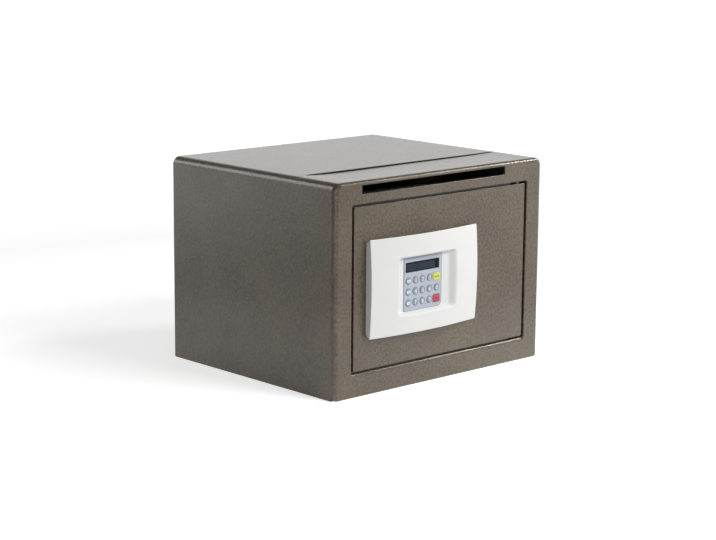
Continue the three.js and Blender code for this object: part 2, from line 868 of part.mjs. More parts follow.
function coverScrew(x, z) {
  const crown = innerCoverBack + coverScrewHead;
  const under = innerCoverBack;
  const tip = under - coverScrewLength;
  return aboutY([
    [0, tip],
    [coverScrewRadius - coverScrewPoint, tip],
    [coverScrewRadius, tip + coverScrewPoint],
    [coverScrewRadius, under],
    [coverScrewHeadRadius, under],
    [coverScrewHeadRadius, under + coverScrewHead * 0.35],
    [coverScrewHeadRadius * 0.75, under + coverScrewHead * 0.8],
    [coverScrewHeadRadius * 0.35, crown],
    [0, crown],
  ], x, z, 12);
}

// A rail beside the battery lid with a lip over the lid's edge
function lidRail(way) {
  const x0 = batteryX - lidHalfX - lidTravel - railEnd;
  const x1 = batteryX + lidHalfX + railEnd;
  const wall = batteryZ + way * (lidHalfZ + seatGap);
  const outer = wall + way * railWidth;
  const lipFront = lidBack + seatGap;
  const lipBack = lipFront + railLipSheet;
  const lipEdge = batteryZ + way * (lidHalfZ - railLip);
  const rail = polygon([
    [innerCoverBack - innerCoverSheet / 2, wall],
    [lipFront, wall],
    [lipFront, lipEdge],
    [lipBack, lipEdge],
    [lipBack, outer],
    [innerCoverBack - innerCoverSheet / 2, outer],
  ]);
  return alongX(rail, x0, x1);
}

function addBolts() {
  const neckHole = boreRadius(boltNeckRadius, roundClearance);
  const half = boltSpacing / 2 + carriageEndMargin;
  let flange = box(
    flangeX, flangeX + carriageSheet, carriageFront, carriageFlangeBack, workZ - half, workZ + half,
  );
  for (const z of boltHeights) {
    const drill = rod(neckHole, flangeX - 1, flangeX + carriageSheet + 1);
    flange = flange.subtract(aboutX(drill, boltY, z));
  }

  // The web is an E: a spine beside the flange, an arm at each stud and one that carries the rack
  const spine = flangeX + carriageSpine;
  const armEnd = flangeX + carriageArmLength;
  const rackEnd = pinionX + boltThrow + rackReach + 2;
  const rackTop = pitchLine - gearModule - rootClearance - 0.5;
  const rackFoot = rackTop - rackBodyHeight - 2;
  const [upper, lower] = armHeights;
  const halfArm = carriageArmWidth / 2;
  const web = polygon([
    [flangeX, lower - halfArm],
    [armEnd, lower - halfArm],
    [armEnd, lower + halfArm],
    [spine, lower + halfArm],
    [spine, rackFoot],
    [rackEnd, rackFoot],
    [rackEnd, rackTop],
    [spine, rackTop],
    [spine, upper - halfArm],
    [armEnd, upper - halfArm],
    [armEnd, upper + halfArm],
    [flangeX, upper + halfArm],
  ]);
  let carriage = alongY(web, carriageFront, carriageBack).add(flange);
  const slotHalf = studRadius + holeClearance;
  for (const z of armHeights) {
    const slot = roundedRectangle(
      studX - slotHalf, studX + boltThrow + slotHalf, z - slotHalf, z + slotHalf, slotHalf * 0.98,
    );
    carriage = carriage.subtract(alongY(slot, carriageFront - 1, carriageBack + 1));
  }
  add("bolt_carriage", zinc, carriage);

  const rivet = flangeX + carriageSheet;
  boltHeights.forEach((z, i) => {
    const bolt = aboutX([
      [0, boltTip],
      [boltRadius - boltChamfer, boltTip],
      [boltRadius, boltTip + boltChamfer],
      [boltRadius, flangeX],
      [boltNeckRadius, flangeX],
      [boltNeckRadius, rivet],
      [boltRivetRadius, rivet],
      [boltRivetRadius, rivet + boltRivet],
      [0, rivet + boltRivet],
    ], boltY, z);
    add(["bolt_upper", "bolt_lower"][i], steel, bolt);
  });

  armHeights.forEach((z, i) => {
    const collarEnd = carriageFront - seatGap;
    const headStart = carriageBack + seatGap;
    const stud = aboutY([
      [0, doorBack],
      [studHeadRadius, doorBack],
      [studHeadRadius, collarEnd],
      [studRadius, collarEnd],
      [studRadius, headStart],
      [studHeadRadius, headStart],
      [studHeadRadius, headStart + studHead],
      [0, headStart + studHead],
    ], studX, z);
    add(["guide_stud_upper", "guide_stud_lower"][i], zinc, stud);
  });
}

// Straight-sided teeth of the basic rack, with the flank's backlash taken off
function addRack() {
  const pitch = Math.PI * gearModule;
  const slope = Math.tan(pressureAngle);
  const tip = pitchLine + gearModule;
  const root = pitchLine - gearModule - rootClearance;
  const halfTip = pitch / 4 - flankBacklash - slope * gearModule;
  const halfRoot = pitch / 4 - flankBacklash + slope * (gearModule + rootClearance);
  const x0 = pinionX - rackReach;
  const x1 = pinionX + boltThrow + rackReach;
  const first = Math.ceil((x0 + halfRoot - pinionX) / pitch - 0.5);
  const last = Math.floor((x1 - halfRoot - pinionX) / pitch - 0.5);
  const outline = [[x1, root], [x1, root - rackBodyHeight], [x0, root - rackBodyHeight], [x0, root]];
  for (let tooth = first; tooth <= last; tooth += 1) {
    const x = pinionX + (tooth + 0.5) * pitch;
    outline.push([x - halfRoot, root], [x - halfTip, tip], [x + halfTip, tip], [x + halfRoot, root]);
  }
  add("bolt_rack", steel, alongY(polygon(outline), carriageBack, rackBack));
}

// Involute flanks: a point of the flank at radius r lies inv(acos(rb / r)) round from where the
// involute leaves the base circle rb
function involute(radius, base) {
  const angle = Math.acos(Math.min(1, base / radius));
  return Math.tan(angle) - angle;
}
function addPinion() {
  const base = pitchRadius * Math.cos(pressureAngle);
  const halfPitchTooth = Math.PI / (2 * pinionTeeth) - flankBacklash / pitchRadius;
  const flankSteps = 2;
  const outline = [];
  for (let tooth = 0; tooth < pinionTeeth; tooth += 1) {
    const middle = -Math.PI / 2 + tooth * 2 * Math.PI / pinionTeeth;
    const flank = [];
    for (let step = 0; step <= flankSteps; step += 1) {
      const radius = base + (pinionTip - base) * step / flankSteps;
      const half = halfPitchTooth + involute(pitchRadius, base) - involute(radius, base);
      flank.push([radius, half]);
    }
    const foot = [pinionRoot, flank[0][1]];
    const rising = [foot, ...flank].map(([radius, half]) => [radius, middle - half]);
    const falling = [foot, ...flank].reverse().map(([radius, half]) => [radius, middle + half]);
    for (const [radius, angle] of [...rising, ...falling]) {
      outline.push([pinionX + radius * Math.cos(angle), pinionZ + radius * Math.sin(angle)]);
    }
  }
  const hub = aboutY(rod(pinionHubRadius, gearFront, bracketFront - seatGap), pinionX, pinionZ);
  const shaftEnd = bracketBack + gearboxBoreDepth - seatGap;
  const shaft = aboutY(rod(pinionShaftRadius, gearFront, shaftEnd), pinionX, pinionZ);
  const gear = alongY(polygon(outline), gearFront, gearBack).add(hub).add(shaft);
  add("drive_pinion", brass, gear);
}

function addDrive() {
  const high = pinionZ + bracketMargin;
  const legLow = pitchLine - bracketMargin - bracketSheet;
  const hat = polygon([
    [doorBack, legLow - bracketFoot],
    [doorBack + bracketSheet, legLow - bracketFoot],
    [doorBack + bracketSheet, legLow],
    [bracketBack, legLow],
    [bracketBack, high + bracketSheet],
    [doorBack + bracketSheet, high + bracketSheet],
    [doorBack + bracketSheet, high + bracketSheet + bracketFoot],
    [doorBack, high + bracketSheet + bracketFoot],
    [doorBack, high],
    [bracketFront, high],
    [bracketFront, legLow + bracketSheet],
    [doorBack, legLow + bracketSheet],
  ]);
  const shaftHole = boreRadius(pinionShaftRadius, 1);
  const bracket = alongX(hat, gearboxLeft, gearboxRight).subtract(
    aboutY(rod(shaftHole, bracketFront - 1, bracketBack + 1), pinionX, pinionZ),
  );
  add("motor_bracket", zinc, bracket);

  const gearboxLow = pinionZ - gearboxHeight / 2;
  const gearboxHigh = pinionZ + gearboxHeight / 2;
  const split = bracketBack + gearboxDepth * 0.6;
  const shaftBore = boreRadius(pinionShaftRadius, roundClearance);
  const gearbox = alongY(
    roundedRectangle(gearboxLeft, gearboxRight, gearboxLow, gearboxHigh, gearboxCorner),
    bracketBack, split, 3,
  ).add(alongY(
    roundedRectangle(
      gearboxLeft + gearboxStep, gearboxRight - gearboxStep,
      gearboxLow + gearboxStep, gearboxHigh - gearboxStep, gearboxCorner,
    ),
    split - gearboxStep, gearboxBack, 3,
  )).subtract(
    aboutY(rod(shaftBore, bracketBack - 1, bracketBack + gearboxBoreDepth), pinionX, pinionZ),
  );
  add("gearbox", greyPlastic, gearbox);

  // The can has two flats, and its boss stands at the far end
  const motorY = bracketBack + motorRadius;
  const flatBand = box(
    gearboxRight, gearboxRight + motorLength,
    motorY - motorRadius - 1, motorY + motorRadius + 1, pinionZ - motorFlat, pinionZ + motorFlat,
  );
  const can = aboutX(rod(motorRadius, gearboxRight, gearboxRight + motorLength), motorY, pinionZ, 20);
  const bossEnd = gearboxRight + motorLength + motorBoss;
  const boss = aboutX(rod(motorBossRadius, gearboxRight + motorLength - 1, bossEnd), motorY, pinionZ);
  add("bolt_motor", steel, can.intersect(flatBand).add(boss));
}

// The circuit board stands on four posts and carries its chips, relay and plugs on the back. Their
// places and sizes are shares of the board's width and height.
function addControlBoard() {
  const x1 = boardLeft + boardWidth;
  const z1 = boardBottom + boardHeight;
  let board = box(boardLeft, x1, boardFront, boardBack, boardBottom, z1);
  for (const x of [boardLeft + boardPostInset, x1 - boardPostInset]) {
    for (const z of [boardBottom + boardPostInset, z1 - boardPostInset]) {
      board = board.add(aboutY(rod(boardPostRadius, doorBack, boardBack + 1), x, z, 10));
    }
  }
  const parts = [
    { across: 0.21, up: 0.33, wide: 0.2, tall: 0.23, rise: chipHeight },
    { across: 0.5, up: 0.23, wide: 0.12, tall: 0.16, rise: chipHeight },
    { across: 0.74, up: 0.36, wide: 0.24, tall: 0.2, rise: relayHeight },
    { across: 0.32, up: 0.7, wide: 0.26, tall: 0.1, rise: plugHeight },
    { across: 0.76, up: 0.73, wide: 0.18, tall: 0.14, rise: plugHeight },
  ];
  for (const { across, up, wide, tall, rise } of parts) {
    board = board.add(box(
      boardLeft + boardWidth * (across - wide / 2), boardLeft + boardWidth * (across + wide / 2),
      boardFront + boardSheet / 2, boardBack + rise,
      boardBottom + boardHeight * (up - tall / 2), boardBottom + boardHeight * (up + tall / 2),
    ));
  }
  add("control_board", circuit, board);
}

function addBatteries() {
  const x0 = batteryX - batteryHalfX;
  const x1 = batteryX + batteryHalfX;
  const z0 = batteryZ - batteryHalfZ;
  const z1 = batteryZ + batteryHalfZ;
  const shell = box(x0, x1, batteryFloor - batteryWall, trayBack, z0, z1);
  const inside = box(
    x0 + batteryWall, x1 - batteryWall, batteryFloor, trayBack + 1, z0 + batteryWall, z1 - batteryWall,
  );
  let holder = shell.subtract(inside);
  const ribHalf = cellPitch / 2 - cellRadius + 1;
  for (let i = 1; i < cellCount; i += 1) {
    const z = batteryZ + (i - cellCount / 2) * cellPitch;
    const rib = polygon([
      [batteryFloor - batteryWall / 2, z - ribHalf],
      [batteryFloor + cellRadius * 0.45, z],
      [batteryFloor - batteryWall / 2, z + ribHalf],
    ]);
    holder = holder.add(alongX(rib, x0 + batteryWall / 2, x1 - batteryWall / 2));
  }
  for (const x of [x0 + batteryLegInset, x1 - batteryLegInset - batteryLegWidth]) {
    holder = holder.add(box(
      x, x + batteryLegWidth, doorBack, batteryFloor - batteryWall / 2,
      z0 + batteryLegInset, z1 - batteryLegInset,
    ));
  }
  add("battery_box", blackPlastic, holder);

  for (let i = 0; i < cellCount; i += 1) {
    const z = batteryZ + (i - (cellCount - 1) / 2) * cellPitch;
    const way = i % 2 ? 1 : -1;
    const flat = batteryX - way * cellLength / 2;
    const shoulder = batteryX + way * (cellLength / 2 - cellNub);
    const tip = batteryX + way * cellLength / 2;
    const cell = aboutX([
      [0, flat],
      [cellRadius - cellEdge, flat],
      [cellRadius, flat + way * cellEdge],
      [cellRadius, shoulder - way * cellEdge],
      [cellRadius - cellEdge, shoulder],
      [cellNubRadius, shoulder],
      [cellNubRadius, tip],
      [0, tip],
    ], cellY, z);
    add(`battery_cell_${i + 1}`, cellWrap, cell);
  }

  const outline = roundedRectangle(
    batteryX - lidHalfX, batteryX + lidHalfX, batteryZ - lidHalfZ, batteryZ + lidHalfZ, 1,
  );
  let lid = alongY(outline, lidFront, lidBack, 2);
  for (let i = 0; i < lidGripCount; i += 1) {
    const x = batteryX + lidHalfX - lidGripFromEdge - i * lidGripPitch;
    const halfGrip = lidGripHeight / 2;
    const grip = polygon([
      [x - lidGripPitch / 3, lidBack - lidSheet / 2],
      [x - lidGripPitch / 3, lidBack],
      [x, lidBack + lidGripRise],
      [x + lidGripPitch / 3, lidBack],
      [x + lidGripPitch / 3, lidBack - lidSheet / 2],
    ]);
    lid = lid.add(gripBar(grip, batteryZ - halfGrip, batteryZ + halfGrip));
  }
  add("battery_lid", blackPlastic, lid);
}

// A bar along Z from an outline in the X and Y plane
function gripBar(shape, start, end) {
  return extruded(shape, 1, (u, v, step) => [u, v, step < 0.5 ? start : end]);
}

// The cover's front rises from its corners to its middle by one parabola across the width and one
// across the height, and its rim rolls over by a small radius
function coverRise(x, z, shell) {
  const across = (2 * x - lockLeft - lockRight) / coverWidth;
  const upward = (2 * z - lockBottom - lockTop) / coverHeight;
  const crown = coverWideCrown * (1 - across ** 2) + coverTallCrown * (1 - upward ** 2);
  const rim = Math.max(coverEdgeRound - shell.offset, 0.01);
  const edge = Math.min(x - shell.x0, shell.x1 - x, z - shell.z0, shell.z1 - z);
  const away = Math.max(rim - edge, 0);
  return coverCornerRise + crown - shell.offset - (rim - Math.sqrt(Math.max(rim ** 2 - away ** 2, 0)));
}
function gridLines(start, end, count, rim) {
  const lines = [start, start + 0.3 * rim, start + rim];
  for (let i = 1; i < count; i += 1) {
    lines.push(start + rim + (end - start - 2 * rim) * i / count);
  }
  return [...lines, end - rim, end - 0.3 * rim, end];
}
function crownedBlock(offset, backY, columns, rows) {
  const shell = {
    offset,
    x0: lockLeft + offset,
    x1: lockRight - offset,
    z0: lockBottom + offset,
    z1: lockTop - offset,
  };
  const xs = gridLines(shell.x0, shell.x1, columns, coverEdgeRound);
  const zs = gridLines(shell.z0, shell.z1, rows, coverEdgeRound);
  const points = [];
  for (const z of zs) {
    for (const x of xs) points.push(new THREE.Vector3(x, front - coverRise(x, z, shell), z));
  }
  const index = [];
  const wide = xs.length;
  for (let j = 0; j < zs.length - 1; j += 1) {
    for (let i = 0; i < wide - 1; i += 1) {
      const a = j * wide + i;
      index.push(a, a + 1, a + wide + 1, a, a + wide + 1, a + wide);
    }
  }
  const rimIndex = [
    ...xs.keys(),
    ...zs.slice(1).map((_, j) => (j + 2) * wide - 1),
    ...xs.slice(1).map((_, i) => zs.length * wide - 2 - i),
    ...zs.slice(1, -1).map((_, j) => (zs.length - 2 - j) * wide),
  ];
  // Towards the door the upper and lower walls lean in
  const back = points.length;
  const middle = (lockBottom + lockTop) / 2;
  const lean = 1 - 2 * coverUndercut / coverHeight;
  for (const at of rimIndex) {
    points.push(new THREE.Vector3(points[at].x, backY, middle + (points[at].z - middle) * lean));
  }
  points.push(new THREE.Vector3((shell.x0 + shell.x1) / 2, backY, (shell.z0 + shell.z1) / 2));
  rimIndex.forEach((at, i) => {
    const next = (i + 1) % rimIndex.length;
    index.push(rimIndex[next], at, back + i, rimIndex[next], back + i, back + next);
    index.push(back + next, back + i, points.length - 1);
  });
  const geometry = new THREE.BufferGeometry().setFromPoints(points);
  geometry.setIndex(index);
  return solid(geometry);
}

const keyRows = [
  ["key_upper", "key_1", "key_2", "key_3", "key_enter"],
  ["key_middle", "key_4", "key_5", "key_6", "key_0"],
  ["key_lower", "key_7", "key_8", "key_9", "key_clear"],
];
const wideKeys = { key_enter: yellowKey, key_clear: redKey };
const keys = keyRows.flatMap((names, row) => names.map((name, column) => ({
  name,
  wide: name in wideKeys,
  x: padX + keyColumnShift + (column - 2) * keyColumnPitch,
  z: padZ + padHeight / 2 - keyRowsFromPadTop - row * keyRowPitch,
})));

// A key's outline at some distance outside its stem, as one ring across Y
function keyRing(key, outset, y) {
  if (key.wide) {
    const halfX = wideKeyWidth / 2 + outset;
    const halfZ = wideKeyHeight / 2 + outset;
    const edges = { left: key.x - halfX, right: key.x + halfX, bottom: key.z - halfZ, top: key.z + halfZ };
    const none = { side: 0, top: 0, bottom: 0 };
    const level = { side: y, top: y, bottom: y };
    const corner = wideKeyCorner + outset;
    return faceRing(edges, none, level, { top: corner, bottom: corner }, 2);
  }
  const radius = keyRadius + outset;
  return Array.from({ length: keySides }, (_, i) => {
    const angle = i / keySides * 2 * Math.PI;
    return new THREE.Vector3(key.x + radius * Math.cos(angle), y, key.z + radius * Math.sin(angle));
  });
}
function keyHole(key, start, end) {
  const flatSides = key.wide ? 0 : boreRadius(keyRadius, holeClearance, keySides) - keyRadius;
  const outset = key.wide ? holeClearance : flatSides;
  return loft([keyRing(key, outset, start), keyRing(key, outset, end)]);
}

function addKeys() {
  const profile = [
    [-keyEdge, keyFront],
    [0, keyFront + keyEdge],
    [0, keyFlangeFront],
    [keyFlange, keyFlangeFront],
    [keyFlange, keyFlangeBack],
  ];
  for (const key of keys) {
    const shape = loft(profile.map(([outset, y]) => keyRing(key, outset, y)));
    add(key.name, wideKeys[key.name] ?? blueKey, shape);
  }
}

function addLock() {
  const tub = roundedRectangle(
    pocketLeft - pocketWall, pocketRight + pocketWall,
    pocketBottom - pocketWall, pocketTop + pocketWall, pocketCorner + pocketWall,
  );
  const pocket = roundedRectangle(pocketLeft, pocketRight, pocketBottom, pocketTop, pocketCorner);
  const reach = front - coverCornerRise - coverWideCrown - coverTallCrown - 1;
  const outer = crownedBlock(0, front, coverColumns, coverRows);
  const inner = crownedBlock(coverWall, front + 1, coverColumns, coverRows);
  let cover = outer.subtract(inner)
    .add(alongY(tub, reach, pocketBack, 3).intersect(outer))
    .subtract(alongY(pocket, reach - 1, pocketFront, 3));
  let pad = alongY(
    roundedRectangle(
      padX - padWidth / 2, padX + padWidth / 2, padZ - padHeight / 2, padZ + padHeight / 2,
      padCorner, padLowerCorner,
    ),
    padFront, pocketFront, 5,
  );
  for (const key of keys) {
    const hole = keyHole(key, reach, pocketBack + 1);
    cover = cover.subtract(hole);
    pad = pad.subtract(hole);
  }
  const glass = (outset, start, end) => alongY(
    roundedRectangle(
      windowX - windowWidth / 2 - outset, windowX + windowWidth / 2 + outset,
      windowZ - windowHeight / 2 - outset, windowZ + windowHeight / 2 + outset, windowCorner,
    ),
    start, end, 2,
  );
  add("lock_cover", whitePlastic, cover);
  add("keypad_pad", bluePlastic, pad.subtract(glass(seatGap, padFront - 1, pocketFront + 1)));
  add("display_window", darkWindow, glass(0, pocketFront - windowThickness, pocketFront));

  const inset = coverWall + seatGap;
  const upright = inset + coverUndercut;
  const plate = box(
    lockLeft + inset, lockRight - inset, basePlateFront, front, lockBottom + upright, lockTop - upright,
  );
  add("lock_base_plate", greyPlastic, plate.subtract(cableHole(basePlateFront - 1, front + 1)));

  const halfBoardX = padWidth / 2 + keypadBoardMargin;
  const halfBoardZ = padHeight / 2;
  const board = box(
    padX - halfBoardX, padX + halfBoardX, keypadBoardFront, keypadBoardBack,
    padZ - halfBoardZ, padZ + halfBoardZ,
  );
  add("keypad_board", circuit, board);
}

// The ribbon leaves the keypad board, passes the leaf and shifts sideways to the control board
function addCable() {
  const start = keypadBoardBack + seatGap;
  const end = boardFront - seatGap;
  const middle = (start + end) / 2;
  const bend = (end - start) / 4;
  const half = cableThickness / 2;
  const ribbon = new THREE.Shape();
  const x = cableX - cableShift / 2;
  ribbon.moveTo(x - half, start);
  ribbon.lineTo(x + half, start);
  ribbon.bezierCurveTo(x + half, middle, x + half + cableShift, middle, x + half + cableShift, end - bend);
  ribbon.lineTo(x + half + cableShift, end);
  ribbon.lineTo(x - half + cableShift, end);
  ribbon.lineTo(x - half + cableShift, end - bend);
  ribbon.bezierCurveTo(x - half + cableShift, middle, x - half, middle, x - half, start);
  const [low, high] = [cableZ - cableHeight / 2, cableZ + cableHeight / 2];
  const cable = extruded(ribbon, 5, (u, v, step) => [u, v, step < 0.5 ? low : high]);
  add("lock_cable", greyPlastic, cable);
}

addCasing();
addFrontFrame();
addDoorStops();
addChute();
addComb();
addPivots();
addDoorLeaf();
addBolts();
addRack();
addPinion();
addDrive();
addControlBoard();
addBatteries();
addLock();
addKeys();
addCable();

export default group;
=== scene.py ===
"""Furniture safe with an electronic lock and a deposit slot: pieces, materials, studio and camera.

The pieces are worked out in millimetres and become metres in one place, in Piece.finish.
X runs to the right, Y to the back and Z up.
"""

import math
from functools import partial

import bmesh
import bpy
import numpy as np
from mathutils import Matrix, Vector
from mathutils.geometry import tessellate_polygon


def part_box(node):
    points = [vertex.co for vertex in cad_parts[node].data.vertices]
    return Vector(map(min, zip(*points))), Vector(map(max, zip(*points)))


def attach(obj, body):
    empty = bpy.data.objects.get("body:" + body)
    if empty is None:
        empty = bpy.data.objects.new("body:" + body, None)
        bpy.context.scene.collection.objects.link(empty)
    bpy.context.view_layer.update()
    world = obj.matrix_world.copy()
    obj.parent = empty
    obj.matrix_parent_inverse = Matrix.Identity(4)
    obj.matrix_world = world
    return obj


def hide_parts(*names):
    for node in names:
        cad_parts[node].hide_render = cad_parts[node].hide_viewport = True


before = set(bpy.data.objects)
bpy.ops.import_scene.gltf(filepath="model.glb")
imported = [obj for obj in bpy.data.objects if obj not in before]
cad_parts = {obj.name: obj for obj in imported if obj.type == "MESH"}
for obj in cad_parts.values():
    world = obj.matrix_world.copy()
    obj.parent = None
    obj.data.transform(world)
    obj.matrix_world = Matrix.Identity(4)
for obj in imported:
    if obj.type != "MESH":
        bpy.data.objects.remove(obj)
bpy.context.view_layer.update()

MM = 0.001
QUARTER = math.pi / 2


# Outlines. Each is a function of an inset, so that one outline gives every level of an edge.


def rectangle(u0, u1, v0, v1, corner, steps=6, along=1):
    """Rectangle with round corners, anticlockwise from the lower right.

    In a corner the point is the corner's centre plus the radius times (cosine, sine) of an angle
    that runs a quarter turn; a straight side is cut into equal parts. corner is one radius, or four
    from the lower right on. An inset moves the sides in and takes the same off each radius.
    """
    radii = np.broadcast_to(np.asarray(corner, float), 4)

    def outline(inset=0.0):
        """The points of one level."""
        low_u, high_u, low_v, high_v = u0 + inset, u1 - inset, v0 + inset, v1 - inset
        corners = [
            (high_u, low_v, 1, -1), (high_u, high_v, 1, 1),
            (low_u, high_v, -1, 1), (low_u, low_v, -1, -1),
        ]
        arcs = []
        for quarter, (u, v, side_u, side_v) in enumerate(corners):
            radius = max(radii[quarter] - inset, 0.05)
            angle = (quarter - 1 + np.linspace(0, 1, steps + 1)) * QUARTER
            centre = np.array([u - side_u * radius, v - side_v * radius])
            arcs.append(centre + radius * np.stack([np.cos(angle), np.sin(angle)], 1))
        share = np.arange(1, along)[:, None] / along
        rows = []
        for arc, following in zip(arcs, arcs[1:] + arcs[:1]):
            rows += [arc, arc[-1] + (following[0] - arc[-1]) * share]
        return np.concatenate(rows)

    return outline


def circle(u, v, radius, sides=48):
    """Points at equal angles round a centre; an inset makes the radius smaller."""
    angle = np.arange(sides) * 2 * math.pi / sides
    around = np.stack([np.cos(angle), np.sin(angle)], 1)
    return lambda inset=0.0: np.array([u, v]) + (radius - inset) * around


def fixed(section):
    """An outline that no inset changes."""
    return lambda inset=0.0: section


def polygon(points):
    """Any outline, anticlockwise. An inset moves each corner in along the sum of its edges'
    normals, over one plus their cosine, so that every edge moves in by the inset."""
    corners = np.asarray(points, float)
    edge = np.roll(corners, -1, 0) - corners
    normal = np.stack([edge[:, 1], -edge[:, 0]], 1) / np.linalg.norm(edge, axis=1, keepdims=True)
    before = np.roll(normal, 1, 0)
    bisector = (before + normal) / (1 + (before * normal).sum(1, keepdims=True))
    return lambda inset=0.0: corners - inset * bisector


def filleted(points, radii, steps=5):
    """A closed outline whose corners are rounded. Each arc leaves its edges at the radius times the
    tangent of half the turn before and after the corner, and turns about a centre beside it."""
    corners = np.asarray(points, float)
    radii = np.broadcast_to(np.asarray(radii, float), len(corners))[:, None]
    arriving = corners - np.roll(corners, 1, 0)
    leaving = np.roll(corners, -1, 0) - corners
    arriving /= np.linalg.norm(arriving, axis=1, keepdims=True)
    leaving /= np.linalg.norm(leaving, axis=1, keepdims=True)
    cross = arriving[:, 0] * leaving[:, 1] - arriving[:, 1] * leaving[:, 0]
    turn = np.arctan2(cross, (arriving * leaving).sum(1))[:, None]
    side = np.sign(turn) * np.stack([-arriving[:, 1], arriving[:, 0]], 1)
    centre = corners - arriving * radii * np.tan(abs(turn) / 2) + side * radii
    start = np.arctan2(-side[:, 1], -side[:, 0])[:, None]
    angle = start + turn * np.linspace(0, 1, steps + 1)
    arcs = centre[:, None] + radii[:, None] * np.stack([np.cos(angle), np.sin(angle)], 2)
    outline = arcs.reshape(-1, 2)
    apart = np.linalg.norm(outline - np.roll(outline, 1, 0), axis=1) > 1e-6
    return outline[apart]


def edge_levels(near, far, near_round, far_round, steps=4):
    """Insets and depths from one flat face to the other: a quarter circle, a straight, a quarter
    circle. On the near one the inset is the radius times (1 - sine), the depth its (1 - cosine)."""
    way = math.copysign(1, far - near)
    angle = np.linspace(0, QUARTER, steps + 1)
    first = [near_round * (1 - np.sin(angle)), near + way * near_round * (1 - np.cos(angle))]
    last = [far_round * (1 - np.cos(angle)), far - way * far_round * (1 - np.sin(angle))]
    return np.concatenate([np.stack(first, 1), np.stack(last, 1)])


# Pieces


def new_object(name, data):
    """An object of that data, put into the scene."""
    item = bpy.data.objects.new(name, data)
    bpy.context.collection.objects.link(item)
    return item


def placed(u, v, w, axes):
    """Three coordinate arrays stacked into points, along the axes that are named in that order."""
    point = np.empty(np.broadcast(u, v, w).shape + (3,))
    for axis, value in zip(axes, (u, v, w)):
        point[..., "xyz".index(axis)] = value
    return point


class Piece:
    """Points and faces of one piece, gathered from grids and fills, each with a finish number."""

    def __init__(self):
        self.points, self.faces, self.finishes, self.count = [], [], [], 0

    def add(self, points, faces, finish=0):
        """Takes in points, and faces that count from the first of them."""
        points = np.asarray(points, float).reshape(-1, 3)
        self.points.append(points)
        self.faces += (np.asarray(faces) + self.count).tolist()
        self.finishes += [finish] * len(faces)
        self.count += len(points)

    def grid(self, points, around=True, closed=False, finish=0):
        """Rows of points joined by quads. around joins each row's end to its start, closed joins
        the last row to the first. A row that shrinks to one point closes as a pole."""
        rows, columns = points.shape[:2]
        i = np.arange(rows if closed else rows - 1)[:, None]
        j = np.arange(columns if around else columns - 1)[None]
        below, right = (i + 1) % rows, (j + 1) % columns
        quads = [i * columns + j, i * columns + right, below * columns + right, below * columns + j]
        self.add(points, np.stack(quads, 2).reshape(-1, 4), finish)

    def fill(self, loops, depth, axes="xzy", finish=0):
        """The flat area inside the first loop and outside the others, cut into triangles."""
        flat = [np.column_stack([loop, np.zeros(len(loop))]) for loop in loops]
        triangles = tessellate_polygon([list(map(Vector, loop.tolist())) for loop in flat])
        joined = np.concatenate(loops)
        self.add(placed(joined[:, 0], joined[:, 1], depth, axes), triangles, finish)

    def skin(self, outline, levels, axes="xzy", side=1, closed=False, finish=0):
        """An outline carried through pairs of inset and depth. Side -1 is for a hole, whose levels
        move out where a rim's move in."""
        rows = np.stack([outline(side * inset) for inset, _ in levels])
        depth = np.asarray(levels, float)[:, 1, None]
        self.grid(placed(rows[..., 0], rows[..., 1], depth, axes), closed=closed, finish=finish)

    def leave_out(self, x):
        """Takes out the faces that lie flat in the plane across X at x."""
        level = np.abs(np.concatenate(self.points)[:, 0] - x) < 1e-6
        kept = [n for n, face in enumerate(self.faces) if not level[face].all()]
        self.faces = [self.faces[n] for n in kept]
        self.finishes = [self.finishes[n] for n in kept]

    def plate(
        self, outline, near, far, near_round=0.3, far_round=0.3, holes=(), axes="xzy", finish=0,
    ):
        """A flat plate between two planes, with rounded edges on its rim and its holes."""
        levels = edge_levels(near, far, near_round, far_round)
        loops = [(outline, 1)] + [(hole, -1) for hole in holes]
        for loop, side in loops:
            self.skin(loop, levels, axes, side, finish=finish)
        for inset, depth in (levels[0], levels[-1]):
            self.fill([loop(side * inset) for loop, side in loops], depth, axes, finish)

    def turned(self, profile, u, v, axes, sides=48, closed=False, finish=0):
        """A profile of radius and place turned about an axis: u plus radius times cosine, v plus
        radius times sine, and the place along the third axis."""
        radius, along = np.asarray(profile, float).T[..., None]
        angle = np.arange(sides) * 2 * math.pi / sides
        points = placed(u + radius * np.cos(angle), v + radius * np.sin(angle), along, axes)
        self.grid(points, closed=closed, finish=finish)

    def finish(self, name, body, node, slot, *materials, smooth_below=32):
        """Joins the points that meet, turns the faces outwards, hangs the piece on its body's empty
        and hides the node that it stands for. The finish numbers count the materials. Faces that
        meet at less than the given angle are shaded as one surface."""
        mesh = bpy.data.meshes.new(name)
        mesh.from_pydata((np.concatenate(self.points) * MM).tolist(), [], self.faces)
        mesh.polygons.foreach_set("material_index", self.finishes)
        shape = bmesh.new()
        shape.from_mesh(mesh)
        bmesh.ops.remove_doubles(shape, verts=shape.verts, dist=2e-6)
        bmesh.ops.recalc_face_normals(shape, faces=shape.faces)
        shape.to_mesh(mesh)
        shape.free()
        mesh.shade_smooth()
        mesh.set_sharp_from_angle(angle=math.radians(smooth_below))
        piece = new_object(name, mesh)
        for material in materials:
            mesh.materials.append(material)
        weighted = piece.modifiers.new("flat faces stay flat", "WEIGHTED_NORMAL")
        weighted.keep_sharp = True
        weighted.weight = 60
        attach(piece, body)
        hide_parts(node)


def span(node):
    """A node's box in millimetres: x0, x1, y0, y1, z0, z1."""
    low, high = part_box(node)
    return [value / MM for pair in zip(low, high) for value in pair]


def box_centre(node):
    """The centre of a node's box in millimetres."""
    x0, x1, y0, y1, z0, z1 = span(node)
    return (x0 + x1) / 2, (y0 + y1) / 2, (z0 + z1) / 2


# Materials


